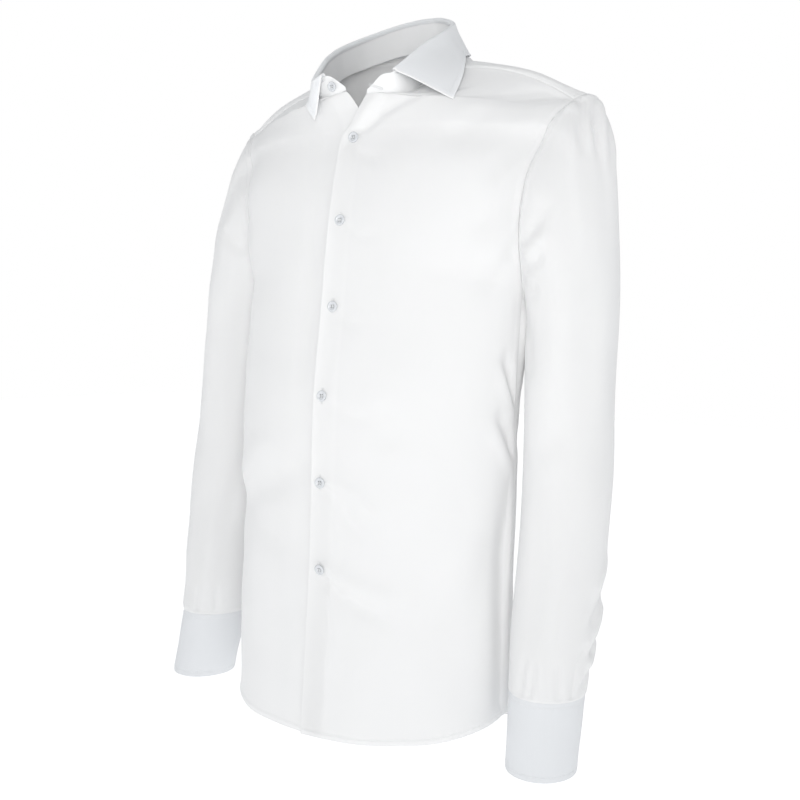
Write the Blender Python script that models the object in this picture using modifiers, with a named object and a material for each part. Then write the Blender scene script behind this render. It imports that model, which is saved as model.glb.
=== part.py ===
"""A long sleeve dress shirt, hollow and open, as it hangs when it is worn.

Metres, +Z up. The wearer faces -Y and the wearer's left is +X. The origin is level with the side neck points, midway
between the shoulders. Each cut piece of cloth is an open grid of faces with a Solidify modifier.
"""

import math

import bmesh
import bpy
import numpy as np
from mathutils import Vector

# Cloth, trimmings and seams
WALL = 0.0012  # thickness of one layer of cloth
COLLAR_WALL = 0.0016  # interlined cloth of the collar, band and cuffs
SEAM_GAP = 0.0003  # clearance between two pieces at a seam
SEAM_TRIM = 0.0003  # how far each piece is drawn back from a seam that it shares
CORNER_TRIM = 0.0006  # the same where the two pieces meet at an angle
COLLAR_GAP = 0.0009  # clearance under the band and under the leaf, whose edges slope
BUTTON_RADIUS = 0.0057
BUTTON_HEIGHT = 0.0024
BUTTON_PITCH = 0.0906
FIRST_BUTTON_Z = -0.0937
FIRST_TO_SECOND = 0.086
FRONT_BUTTONS = 6
SMALL_BUTTON_SCALE = 0.9
BUTTON_STEPS = 12

# Shirt front
OVERLAP = 0.013  # how far each front runs past the centre line
UNDERLAP_DROP = 0.0027  # how far the right front lies behind the left front where they overlap
UNDERLAP_FADE = 0.050  # where the right front has come out level again, measured from the centre line
RIGHT_HEM_DROP = 0.018  # the wearer's right side hangs this much lower at the side seam
RIGHT_END_IN = 0.005  # how much nearer the centre the right end of the neckline lies than the left
RIGHT_END_UP = 0.006  # and how much higher
SHOULDER_RISE = {"left": 1.0, "right": 0.4}  # how much of the bow over each shoulder shows

# Collar
COLLAR_RISE = 0.0042  # the roll of the leaf over the band's top edge
COLLAR_ROLL = 0.0030  # radius of that roll
LEAF_REST = {"left": 0.0015, "right": 0.0042}  # clearance between the leaf and the panel that it lies on
REST_REACH = 0.02  # a leaf further than this from a panel is left as it is
PANEL_SAMPLES = 5
PANEL_MARGIN = 0.005  # a point further than this beyond a panel's edge isn't over the panel
BODY_CENTRE = (0.0, 0.03, -0.15)
LEAF_HANG = 0.25  # how far the leaf hangs down the band before it turns out, as a share of its fall
LEAF_TURN = 0.30  # how long its last, straight stretch is, as a share of its fall
LEAF_STRAIGHTENS = (4.4, 6.0)  # the stations between which its fall becomes straight, towards the point
LEAF_LEVEL = (0.33, 0.05)  # the straight fall's first handle: how far along it and how far above it
BAND_ROWS = 3
LEAF_ROWS = 4
ROLL_ANGLES = (180, 125, 70)
COLLAR_BUTTON_AT = (1.6, 2.8)  # its row up the band, and its columns from the band's right end

# Cuffs and sleeve openings
CUFF_HEIGHT = 0.0765
CUFF_LAP = 0.024
GAUNTLET_WIDTH = 0.024
GAUNTLET_ROWS = 2.2
GAUNTLET_CLEARANCE = 0.0008
GAUNTLET_RADIUS = 0.043  # the sleeve's radius beside it
GAUNTLET_POINT = (0.88, 0.92)  # where the point starts along the strip, and how much of the width it takes away
CUFF_OPENING = 4.95  # where the cuff and the sleeve open, as an angle round the sleeve
CUFF_TOP_INSET = 0.0013
CUFF_TAPER = 0.0020
CUFF_BUTTON_AT = (1.4, 3.4)  # its row down the cuff, and its columns from the lap's end
CUFF_BUTTON_STAND = 0.0009
LAP_STARTS = 1.75 * math.pi  # how far round the cuff it starts to rise over its own start
SLEEVE_SWING = {"left": -0.0030, "right": 0.0020}  # how far each wrist hangs out from the even pose
SLEEVE_FLARE = {"left": -0.0010, "right": 0.0170}  # how much further the edge of the cuff stands out
SLEEVE_LIFT = {"left": 0.0000, "right": 0.0130}  # how much higher each cuff hangs
HEAD_FULLNESS = 0.24  # how far the sleeve head stands out at its front and back, as a share of its drop
HEAD_OUTSIDE = {"left": 0.12, "right": 0.07}  # the same at its outer line
HEAD_INSIDE = 0.28  # the same under the arm
HEAD_DRAWN_IN = {"left": 0.0, "right": 0.008}  # how much further in the head's outer line hangs
HEAD_FALL = (0.42, 0.10)  # how far up the head hangs plumb, as a share of its drop, and how much more outside
PLEATS = (5.42, 5.80)  # the tucks above the cuff, as angles round the sleeve
PLEAT_WIDTH = 0.09
PLEAT_DEPTH = 0.06

# Grid sizes
FRONT_COLUMNS = 13
BODY_ROWS = 12
CHEST_ROWS = 8
BACK_COLUMNS = 22
BACK_REACH = 0.62  # how far each row of the back runs square to the centre line, as a share of its width
EVEN_COLUMNS = 28
CAP_ROWS = 8
SLEEVE_ROWS = 11
YOKE_ROWS = 6
CUFF_COLUMNS = 38
CUFF_ROWS = 3
GAUNTLET_STEPS = 8
GAUNTLET_COLUMNS = 4
FINE_COLUMNS = 60  # columns of a row that is only measured


class Table:
    """Rows of sizes under named columns, read as smooth curves between the rows."""

    def __init__(self, columns, rows):
        self.columns = columns.split()
        self.rows = np.array(rows, dtype=float)

    def __len__(self):
        return len(self.rows)

    def value(self, names, at):
        """The columns called names, at row numbers `at` that may lie between rows."""
        picked = self.rows[:, [self.columns.index(n) for n in names.split()]]
        return smooth(picked, at)

    def cornered(self, names, at, corner):
        """The same, with a corner at one row: the curves on either side of it end there."""
        picked = self.rows[:, [self.columns.index(n) for n in names.split()]]
        at = np.atleast_1d(np.asarray(at, dtype=float))
        before = smooth(picked[: corner + 1], at)
        after = smooth(picked[corner:], at - corner)
        return np.where((at <= corner)[:, None], before, after)


def smooth(rows, at):
    """A Catmull-Rom curve through rows, read at fractional row numbers."""
    at = np.clip(np.atleast_1d(np.asarray(at, dtype=float)), 0, len(rows) - 1)
    first = np.minimum(at.astype(int), len(rows) - 2)
    t = (at - first)[:, None]
    slopes = np.gradient(rows, axis=0)
    a, b = rows[first], rows[first + 1]
    return (
        (2 * t**3 - 3 * t**2 + 1) * a
        + (t**3 - 2 * t**2 + t) * slopes[first]
        + (3 * t**2 - 2 * t**3) * b
        + (t**3 - t**2) * slopes[first + 1]
    )


def bezier(points, t):
    """A cubic curve with its four control points, each (n, 3), read at the parameters t."""
    p0, p1, p2, p3 = (p[:, None, :] for p in points)
    t = np.asarray(t)[None, :, None]
    return (1 - t) ** 3 * p0 + 3 * t * (1 - t) ** 2 * p1 + 3 * t * t * (1 - t) * p2 + t**3 * p3


def fade(value, start, end):
    """0 at start and 1 at end, with soft ends."""
    t = np.clip((value - start) / (end - start), 0, 1)
    return t * t * (3 - 2 * t)


# Fronts, half by half: the opening edge, then the side seam and front armhole, row by row from the hem to the yoke seam.
# left_x and right_x are the opening edges of the two fronts, measured from the centre towards their own side.
FRONT = Table(
    "left_x  right_x  edge_y   edge_z   side_x   side_y   side_z   turn  ease  rise   reach",
    (
        (-0.0130, -0.0130, -0.1155, -0.7140, 0.1655, 0.0020, -0.6880, 88, 1.7, 0.000, 0.62),
        (-0.0130, -0.0130, -0.1112, -0.6300, 0.1668, 0.0010, -0.6200, 88, 1.4, 0.000, 0.62),
        (-0.0130, -0.0130, -0.1067, -0.5400, 0.1665, 0.0000, -0.5400, 88, 1.0, 0.000, 0.62),
        (-0.0130, -0.0130, -0.1056, -0.4500, 0.1672, 0.0000, -0.4500, 88, 1.0, 0.000, 0.65),
        (-0.0130, -0.0130, -0.1045, -0.3600, 0.1668, 0.0000, -0.3600, 88, 1.0, 0.000, 0.65),
        (-0.0130, -0.0130, -0.0945, -0.2700, 0.1685, 0.0000, -0.2850, 86, 1.0, 0.000, 0.63),
        (-0.0130, -0.0130, -0.0900, -0.2230, 0.1705, 0.0000, -0.2500, 80, 1.0, 0.000, 0.62),
        (-0.0130, -0.0130, -0.0845, -0.1800, 0.1717, -0.0160, -0.1900, 73, 1.0, 0.000, 0.61),
        (-0.0130, -0.0130, -0.0755, -0.1320, 0.1775, -0.0155, -0.1380, 62, 1.0, 0.000, 0.59),
        (-0.0130, -0.0130, -0.0648, -0.0940, 0.1870, -0.0015, -0.1027, 50, 1.0, 0.000, 0.56),
        (-0.0022, -0.0110, -0.0625, -0.0800, 0.1930, 0.0007, -0.0860, 44, 1.0, 0.000, 0.53),
        (0.0062, -0.0055, -0.0620, -0.0645, 0.1980, 0.0075, -0.0745, 38, 1.0, 0.000, 0.50),
        (0.0155, 0.0155, -0.0615, -0.0505, 0.2025, 0.0140, -0.0670, 32, 0.9, 0.000, 0.46),
        (0.0360, 0.0360, -0.0570, -0.0520, 0.2052, 0.0185, -0.0628, 25, 1.0, 0.004, 0.40),
        (0.0545, 0.0545, -0.0390, -0.0440, 0.2070, 0.0225, -0.0598, 20, 1.0, 0.010, 0.36),
        (0.0670, 0.0670, -0.0110, -0.0253, 0.2085, 0.0265, -0.0572, 14, 1.0, 0.0165, 0.34),
    ),
)
BAND_END_ROW = 12  # the row where the opening edge meets the end of the collar band
ARMPIT_ROW = 6

# Back, half by half, from the hem to the yoke seam.
BACK = Table(
    "centre_y centre_z  side_x   side_y   side_z   turn  ease",
    (
        (0.0760, -0.7260, 0.1655, 0.0020, -0.6880, 88, 1.7),
        (0.0745, -0.6300, 0.1668, 0.0010, -0.6200, 88, 1.4),
        (0.0725, -0.5400, 0.1665, 0.0000, -0.5400, 88, 1.0),
        (0.0700, -0.4500, 0.1672, 0.0000, -0.4500, 88, 1.0),
        (0.0715, -0.3600, 0.1668, 0.0000, -0.3600, 88, 1.0),
        (0.0830, -0.2750, 0.1685, 0.0000, -0.2850, 86, 1.0),
        (0.0900, -0.2350, 0.1705, 0.0000, -0.2500, 80, 1.0),
        (0.0965, -0.1950, 0.1775, 0.0270, -0.2100, 72, 1.0),
        (0.1000, -0.1500, 0.1880, 0.0460, -0.1650, 58, 1.0),
        (0.1005, -0.1050, 0.2000, 0.0560, -0.1180, 45, 1.0),
        (0.0985, -0.0700, 0.2135, 0.0575, -0.0780, 34, 1.0),
    ),
)

# Neck seam, from the centre back round one side to the end of the collar band.
NECK = Table(
    "x       y        z",
    (
        (0.0000, 0.0735, 0.0275),
        (0.0300, 0.0695, 0.0245),
        (0.0615, 0.0500, 0.0115),
        (0.0715, 0.0240, -0.0030),
        (0.0700, 0.0060, -0.0140),
        (0.0670, -0.0110, -0.0253),
        (0.0545, -0.0440, -0.0520),
        (0.0360, -0.0575, -0.0540),
        (0.0155, -0.0615, -0.0505),
    ),
)
YOKE_NECK_ROW = 5  # the row where the front yoke seam meets the neck seam
BACK_STATIONS = [YOKE_NECK_ROW * step / 12 for step in range(13)]  # where the yoke and the collar share points
FRONT_STATIONS = [5.2, 5.4, 5.6, 5.8, 6.0, 6.4, 6.8, 7.2, 7.6, 8.0]  # where each front and the collar share points

# Collar, station by station beside the neck seam: the top of the roll, the height of the band, and the leaf's lower
# edge on the wearer's left and on the right. The leaf ends at its last station and only the band goes on.
COLLAR = Table(
    "roll_x roll_y  roll_z  left_band right_band left_x left_y left_z right_x right_y right_z",
    (
        (0.0000, 0.0680, 0.0643, 0.0330, 0.0330, 0.0000, 0.0880, 0.0190, 0.0000, 0.0880, 0.0190),
        (0.0265, 0.0645, 0.0615, 0.0330, 0.0330, 0.0370, 0.0815, 0.0150, 0.0370, 0.0815, 0.0150),
        (0.0565, 0.0390, 0.0450, 0.0310, 0.0310, 0.0730, 0.0540, 0.0102, 0.0735, 0.0540, 0.0102),
        (0.0655, 0.0060, 0.0295, 0.0300, 0.0300, 0.0895, 0.0150, -0.0010, 0.0850, 0.0180, 0.0000),
        (0.0640, -0.0150, 0.0155, 0.0300, 0.0300, 0.1010, -0.0080, -0.0170, 0.0850, 0.0000, -0.0130),
        (0.0600, -0.0330, -0.0015, 0.0300, 0.0300, 0.1085, -0.0280, -0.0365, 0.0765, -0.0250, -0.0300),
        (0.0500, -0.0620, -0.0320, 0.0280, 0.0280, 0.1099, -0.0473, -0.0613, 0.0625, -0.0580, -0.0525),
        (0.0340, -0.0660, -0.0320, 0.0205, 0.0250, 0.1099, -0.0473, -0.0613, 0.0460, -0.0640, -0.0740),
        (0.0200, -0.0645, -0.0350, 0.0050, 0.0050, 0.1099, -0.0473, -0.0613, 0.0460, -0.0640, -0.0740),
    ),
)
LEAF_END = {"left": 6.0, "right": 6.8}  # the station that each end of the leaf stands at

# Yoke, from the armhole to the centre back: where each line over the shoulder crosses the ridge, and how far out along
# the back seam it ends (1 at the armhole).
YOKE = Table(
    "ridge_x ridge_y  ridge_z  along",
    (
        (0.2200, 0.0430, -0.0525, 1.00),
        (0.1760, 0.0400, -0.0335, 0.78),
        (0.1350, 0.0400, -0.0215, 0.56),
        (0.0930, 0.0400, -0.0075, 0.37),
        (0.0760, 0.0580, 0.0010, 0.24),
        (0.0420, 0.0800, 0.0000, 0.12),
        (0.0000, 0.0880, -0.0010, 0.00),
    ),
)
YOKE_CORNER_ROW = 3  # the row that starts where the front yoke seam meets the neck seam

# Sleeve below the armhole: the centre and half widths of each level round, and how much of the cuff pleats shows.
SLEEVE = Table(
    "x       y        z        half_x   half_y   pleat",
    (
        (0.2150, 0.0270, -0.3000, 0.0440, 0.0580, 0.0),
        (0.2172, 0.0210, -0.3700, 0.0438, 0.0555, 0.0),
        (0.2215, 0.0130, -0.4500, 0.0438, 0.0520, 0.0),
        (0.2225, 0.0030, -0.5300, 0.0425, 0.0500, 0.0),
        (0.2210, -0.0060, -0.5950, 0.0408, 0.0470, 0.4),
        (0.2200, -0.0120, -0.6490, 0.0385, 0.0425, 1.0),
    ),
)
CUFF_TILT = 0.10  # how far the cuff swings forward for each metre down


def front_edge(side, at):
    """The opening edge and neckline of one front, in its own half."""
    at = np.asarray(at, dtype=float)
    edge = FRONT.cornered(side + "_x edge_y edge_z", at, BAND_END_ROW)
    edge += right_end(side, at - BAND_END_ROW + 1)
    neck = neck_seam(side, len(NECK) - 1 - (at - BAND_END_ROW))
    return np.where((at >= BAND_END_ROW)[:, None], neck, edge)


def front_side(side, at):
    """The side seam and front armhole of one front, in its own half."""
    points = FRONT.cornered("side_x side_y side_z", at, ARMPIT_ROW)
    if side == "right":
        points[:, 2] -= RIGHT_HEM_DROP * (1 - fade(np.asarray(at, dtype=float), 0, 2))
    return points


def sweep_rows(start, end, turn, ease, rise, columns, reach):
    """Rows that leave the start square to the centre line and reach the end heading `turn` degrees backwards.

    `ease` above 1 keeps a row level at first, and `rise` bows its middle upwards.
    """
    span = np.abs(end - start)
    p1 = start + np.stack((reach * span[:, 0], 0 * turn, 0 * turn), 1)
    heading = np.sign(end[:, 1] - start[:, 1])
    back = np.stack((np.cos(np.radians(turn)), heading * np.sin(np.radians(turn)), 0 * turn), 1)
    length = reach * np.hypot(span[:, 0] * np.cos(np.radians(turn)), span[:, 1] * np.sin(np.radians(turn)))
    p2 = end - back * length[:, None]
    u = np.linspace(0, 1, columns + 1)
    grid = bezier((start, p1, p2, end), u)
    lift = u[None, :] ** ease[:, None]
    grid[:, :, 2] = start[:, 2, None] * (1 - lift) + end[:, 2, None] * lift
    grid[:, :, 2] += rise[:, None] * 4 * u * (1 - u)
    return grid


def front_surface(side, at=None, columns=FRONT_COLUMNS):
    """The outer face of one front, hem to yoke seam by opening edge to side, with the wearer's left as +X."""
    if at is None:
        at = np.concatenate(
            (
                np.linspace(0, ARMPIT_ROW, BODY_ROWS, endpoint=False),
                np.linspace(ARMPIT_ROW, BAND_END_ROW, CHEST_ROWS, endpoint=False),
                BAND_END_ROW + len(NECK) - 1 - np.array(FRONT_STATIONS[::-1] + [YOKE_NECK_ROW]),
            )
        )
    turn, ease, rise, reach = FRONT.value("turn ease rise reach", at).T
    rise = rise * SHOULDER_RISE[side]
    grid = sweep_rows(front_edge(side, at), front_side(side, at), turn, ease, rise, columns, reach)
    if side == "right":
        grid[:, :, 0] *= -1
        behind = 1 - fade(-grid[:, :, 0], OVERLAP, UNDERLAP_FADE)
        under_the_left = 1 - fade(np.asarray(at, dtype=float), BAND_END_ROW - 1, BAND_END_ROW)
        grid[:, :, 1] += UNDERLAP_DROP * behind * under_the_left[:, None]
    return grid


def back_half(side, at, columns):
    """One half of the back's outer face, in its own half, from the centre to the side seam and armhole."""
    turn, ease = BACK.value("turn ease", at).T
    centre = BACK.value("centre_y centre_z", at)
    start = np.stack((0 * turn, centre[:, 0], centre[:, 1]), 1)
    end = BACK.cornered("side_x side_y side_z", at, ARMPIT_ROW)
    if side == "right":
        end[:, 2] -= RIGHT_HEM_DROP * (1 - fade(at, 0, 2))
    return sweep_rows(start, end, turn, ease, 0 * turn, columns, BACK_REACH + 0 * turn)


def back_surface():
    """The outer face of the back, hem to yoke seam by right side to left side."""
    at = np.concatenate(
        (
            np.linspace(0, ARMPIT_ROW, BODY_ROWS, endpoint=False),
            np.linspace(ARMPIT_ROW, len(BACK) - 1, CHEST_ROWS),
        )
    )
    right = back_half("right", at, BACK_COLUMNS // 2) * (-1, 1, 1)
    left = back_half("left", at, BACK_COLUMNS // 2)
    return np.concatenate((right[:, ::-1], left[:, 1:]), 1)


def right_end(side, share):
    """How far the right end of the neckline is drawn in and up, fully where the share is 1."""
    full = (-RIGHT_END_IN, 0, RIGHT_END_UP) if side == "right" else (0, 0, 0)
    return fade(np.asarray(share, dtype=float), 0, 1)[:, None] * full


def neck_seam(side, at):
    """Points of the neck seam on one side, as the left one, at row numbers from the centre back."""
    at = np.asarray(at, dtype=float)
    return NECK.value("x y z", at) + right_end(side, (at - LEAF_END["left"]) / 2)


def yoke_half(side, rows=YOKE_ROWS):
    """One half of the yoke's outer face as +X, from the armhole to the centre back by front edge to back seam."""
    last = len(YOKE) - 1
    beside_neck = last - np.array(BACK_STATIONS[-2::-1]) * (last - YOKE_CORNER_ROW) / YOKE_NECK_ROW
    stations = np.concatenate((np.linspace(0, YOKE_CORNER_ROW, 2 * YOKE_CORNER_ROW + 1), beside_neck))
    seam = front_surface(side, [len(FRONT) - 1], FINE_COLUMNS)[0]
    seam[:, 0] = np.abs(seam[:, 0])
    from_seam = smooth(seam, FINE_COLUMNS * (1 - stations / YOKE_CORNER_ROW))
    from_neck = neck_seam(side, YOKE_NECK_ROW * (last - stations) / (last - YOKE_CORNER_ROW))
    front = np.where((stations <= YOKE_CORNER_ROW)[:, None], from_seam, from_neck)
    ridge = YOKE.value("ridge_x ridge_y ridge_z", stations)
    behind = back_half("left", np.array([len(BACK) - 1]), FINE_COLUMNS)[0]
    back = smooth(behind, FINE_COLUMNS * YOKE.value("along", stations)[:, 0])
    t = np.linspace(0, 1, rows + 1)[None, :, None]
    handle = 2 * ridge - 0.5 * (front + back)
    return (1 - t) ** 2 * front[:, None] + 2 * t * (1 - t) * handle[:, None] + t * t * back[:, None]


def yoke_surface():
    """The outer face of the yoke, from the left armhole to the right."""
    right = yoke_half("right")[::-1] * (-1, 1, 1)
    return np.concatenate((yoke_half("left"), right[1:]), 0)


def resample(points, fractions):
    """Points at fractions of the way along a line."""
    steps = np.concatenate(((0,), np.cumsum(np.linalg.norm(np.diff(points, axis=0), axis=1))))
    where = steps[-1] * np.asarray(fractions)
    return np.stack([np.interp(where, steps, points[:, i]) for i in range(3)], 1)


def armhole(angles):
    """The armhole's loop on the wearer's left: over the shoulder, down the front, under the arm and up the back."""
    over = yoke_half("left", 24)[0]
    top = len(over) // 2
    front = front_side("left", np.linspace(len(FRONT) - 1, ARMPIT_ROW + 0.001, 60))
    back = BACK.cornered("side_x side_y side_z", np.linspace(ARMPIT_ROW + 0.001, len(BACK) - 1, 60), ARMPIT_ROW)
    turns = angles / math.pi
    down = resample(np.concatenate((over[top::-1], front)), turns[turns <= 1])
    up = resample(np.concatenate((back, over[: top - 1 : -1])), turns[turns > 1] - 1)
    return np.concatenate((down, up))


def around():
    """Angles round a sleeve, closer together at the pleats: 0 outside, then front, inside and back."""
    even = np.linspace(0, 2 * math.pi, EVEN_COLUMNS, endpoint=False)
    clear = [a for a in even if min(abs(a - p) for p in PLEATS) > 1.4 * PLEAT_WIDTH]
    tucks = [p + PLEAT_WIDTH * side for p in PLEATS for side in (-1.2, 0.0, 1.2)]
    return np.array(sorted(clear + tucks))


def sleeve_ring(at, angles):
    """Rounds of the sleeve below the armhole, at row numbers of the SLEEVE table."""
    x, y, z, half_x, half_y, pleat = SLEEVE.value("x y z half_x half_y pleat", at).T[:, :, None]
    c, s = np.cos(angles)[None], np.sin(angles)[None]
    tuck = 1 + 0 * c
    for place in PLEATS:
        tuck = tuck - PLEAT_DEPTH * pleat * np.exp(-(((angles[None] - place) / PLEAT_WIDTH) ** 2))
    return np.stack((x + half_x * tuck * c, y - half_y * tuck * s, z + 0 * c), 2)


def sleeve_surface(side):
    """The outer face of one sleeve before it hangs, as the left one: rounds from the armhole to the cuff."""
    angles = around()
    loop = armhole(angles)
    first = sleeve_ring([0], angles)[0]
    c, s = np.cos(angles), np.sin(angles)
    outward = np.stack((0.62 + 0.38 * c, -0.45 * s, -0.48 + 0.46 * c), 1)
    outward /= np.linalg.norm(outward, axis=1)[:, None]
    drop = np.linalg.norm(first - loop, axis=1)[:, None]
    outside, inside = np.maximum(c, 0)[:, None], np.maximum(-c, 0)[:, None]
    fullness = HEAD_FULLNESS + (HEAD_OUTSIDE[side] - HEAD_FULLNESS) * outside + (HEAD_INSIDE - HEAD_FULLNESS) * inside
    leave = loop + outward * drop * fullness
    arrive = first + (0, 0, 1) * drop * (HEAD_FALL[0] + HEAD_FALL[1] * c[:, None])
    arrive -= (HEAD_DRAWN_IN[side], 0, 0) * outside
    t = np.linspace(0, 1, CAP_ROWS, endpoint=False)
    t[0] = SEAM_GAP / 0.05
    cap = bezier((loop, leave, arrive, first), t).transpose(1, 0, 2)
    lower = sleeve_ring(np.linspace(0, len(SLEEVE) - 1, SLEEVE_ROWS), angles)
    return np.concatenate((cap, lower), 0)


def hang(points, side):
    """A left sleeve's points as they hang on one side: how far the wrist swings out and how high the cuff ends."""
    moved = points.copy()
    down = -points[..., 2]
    moved[..., 0] += SLEEVE_SWING[side] * fade(down, 0.25, 0.70) + SLEEVE_FLARE[side] * fade(down, 0.60, 0.76)
    moved[..., 2] += SLEEVE_LIFT[side] * fade(down, 0.20, 0.68)
    if side == "right":
        moved[..., 0] *= -1
    return moved


def collar_frame(side, at):
    """For stations of one side of the neck: the seam, the way up the band, the way out from the neck."""
    at = np.asarray(at, dtype=float)
    seam = neck_seam(side, at)
    roll = COLLAR.value("roll_x roll_y roll_z", at) + right_end(side, (at - LEAF_END["left"]) / 2)
    up = roll - seam
    up /= np.linalg.norm(up, axis=1)[:, None]
    ahead = neck_seam(side, np.clip(at + 0.02, 0, len(NECK) - 1))
    behind = neck_seam(side, np.clip(at - 0.02, 0, len(NECK) - 1))
    out = np.cross(up, ahead - behind)
    out /= np.linalg.norm(out, axis=1)[:, None]
    if side == "right":
        seam, up, out = (v * (-1, 1, 1) for v in (seam, up, out))
    return seam, up, out


def band_half(side, rows=BAND_ROWS):
    """One half of the collar band's outer face, from the centre back to its front end."""
    at = np.array(BACK_STATIONS + FRONT_STATIONS)
    seam, up, out = collar_frame(side, at)
    height = COLLAR.value(side + "_band", at)
    t = np.linspace(0, 1, rows + 1)[:, None, None]
    return seam + up * (COLLAR_GAP + t * (height - COLLAR_GAP))


def panel_normals(grid):
    """Unit normals of a panel's grid, pointing away from the body."""
    across, along = np.gradient(grid, axis=1), np.gradient(grid, axis=0)
    normals = np.cross(across, along)
    normals /= np.linalg.norm(normals, axis=2)[:, :, None]
    outward = np.sum(normals * (grid - BODY_CENTRE), axis=2) >= 0
    return np.where(outward[:, :, None], normals, -normals)


def dense(grid, times):
    """A grid with its faces divided evenly, without leaving them."""
    for axis in (0, 1):
        count = grid.shape[axis]
        at = np.linspace(0, count - 1, (count - 1) * times + 1)
        first = np.minimum(at.astype(int), count - 2)
        share = (at - first).reshape((-1, 1, 1) if axis == 0 else (1, -1, 1))
        grid = np.take(grid, first, axis) * (1 - share) + np.take(grid, first + 1, axis) * share
    return grid


def clear_of(points, panel, distance):
    """Points moved out from a panel's outer face wherever they lie closer to it than the distance."""
    panel = dense(panel, PANEL_SAMPLES)
    flat, normals = panel.reshape(-1, 3), panel_normals(panel).reshape(-1, 3)
    moved = points.reshape(-1, 3).copy()
    for i, point in enumerate(moved):
        near = np.argmin(np.sum((flat - point) ** 2, axis=1))
        height = np.dot(point - flat[near], normals[near])
        aside = np.linalg.norm(point - flat[near] - normals[near] * height)
        if abs(height) < REST_REACH and height < distance and aside < PANEL_MARGIN:
            moved[i] += normals[near] * (distance - height)
    return moved.reshape(points.shape)


def leaf_half(side):
    """One half of the collar leaf's show face, from the band's top over the roll to its lower edge."""
    at = np.array([station for station in BACK_STATIONS + FRONT_STATIONS if station <= LEAF_END[side]])
    seam, up, out = collar_frame(side, at)
    top = seam + up * COLLAR.value(side + "_band", at)
    edge = COLLAR.value(f"{side}_x {side}_y {side}_z", at)
    if side == "right":
        edge = edge * (-1, 1, 1)
    centre = top + up * (COLLAR_RISE - COLLAR_ROLL) + out * (COLLAR_ROLL - COLLAR_WALL)
    rows = [top + up * COLLAR_GAP - out * COLLAR_WALL]
    for angle in np.radians(ROLL_ANGLES):
        rows.append(centre + COLLAR_ROLL * (out * math.cos(angle) + up * math.sin(angle)))
    start = centre + out * COLLAR_ROLL
    fall = np.linalg.norm(edge - start, axis=1)[:, None]
    hanging = start - up * fall * LEAF_HANG
    level = start + (edge - start) * LEAF_LEVEL[0] + up * fall * LEAF_LEVEL[1]
    handle = hanging + (level - hanging) * fade(at, *LEAF_STRAIGHTENS)[:, None]
    points = (start, handle, edge + (start - edge) * LEAF_TURN, edge)
    fall_rows = bezier(points, np.linspace(0, 1, LEAF_ROWS + 1)).transpose(1, 0, 2)
    front = front_surface(side)[BODY_ROWS:]
    yoke = yoke_half(side) * ((1, 1, 1) if side == "left" else (-1, 1, 1))
    for panel in (front, yoke):
        fall_rows[1:] = clear_of(fall_rows[1:], panel, COLLAR_WALL + LEAF_REST[side])
    rows.extend(fall_rows)
    return np.stack(rows)


def whole_collar(half):
    """Both halves of a collar piece, from the wearer's right end round the back to the left end."""
    return np.concatenate((half("right")[:, ::-1], half("left")[:, 1:]), 1)


def cuff_surface():
    """The outer face of the left cuff: a strip wound once round the wrist with its end lapped over its start."""
    x, y, z, half_x, half_y, _ = SLEEVE.value("x y z half_x half_y pleat", [len(SLEEVE) - 1])[0]
    turns = np.linspace(CUFF_OPENING, CUFF_OPENING - 2 * math.pi - CUFF_LAP / half_y, CUFF_COLUMNS)
    lapped = fade(CUFF_OPENING - turns, LAP_STARTS, 2 * math.pi) * (COLLAR_WALL + 2 * SEAM_GAP)
    rows = []
    for t in np.linspace(0, 1, CUFF_ROWS + 1):
        down = SEAM_GAP + t * CUFF_HEIGHT
        shrink = CUFF_TOP_INSET + t * CUFF_TAPER
        ring_x = x + (half_x - shrink + lapped) * np.cos(turns)
        ring_y = y - CUFF_TILT * down - (half_y - shrink + lapped) * np.sin(turns)
        rows.append(np.stack((ring_x, ring_y, z - down + 0 * turns), 1))
    return np.stack(rows)


def gauntlet_surface():
    """The outer face of the left sleeve's placket, laid on the sleeve: a strip with a pointed top."""
    half_turn = GAUNTLET_WIDTH / 2 / GAUNTLET_RADIUS
    starts, taken = GAUNTLET_POINT
    rows = []
    for along in np.linspace(0, 1, GAUNTLET_STEPS + 1):
        row = [len(SLEEVE) - 1 - along * GAUNTLET_ROWS]
        point = 1 - taken * max(0.0, (along - starts) / (1 - starts))
        angles = CUFF_OPENING + half_turn * point * np.linspace(-1, 1, GAUNTLET_COLUMNS + 1)
        ring = sleeve_ring(row, angles)[0]
        centre = SLEEVE.value("x y z", row)[0]
        away = (ring - centre) * (1, 1, 0)
        away /= np.linalg.norm(away, axis=1)[:, None]
        rows.append(ring + away * (WALL + GAUNTLET_CLEARANCE))
    return np.stack(rows)


# --- Blender objects -------------------------------------------------------------------------------------------------


def material(name, color, roughness):
    """A Principled material, made once for each name."""
    made = bpy.data.materials.get(name)
    if made is None:
        made = bpy.data.materials.new(name)
        made.use_nodes = True
        shader = made.node_tree.nodes["Principled BSDF"]
        shader.inputs["Base Color"].default_value = (*color, 1.0)
        shader.inputs["Roughness"].default_value = roughness
        shader.inputs["Metallic"].default_value = 0.0
    return made


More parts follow.
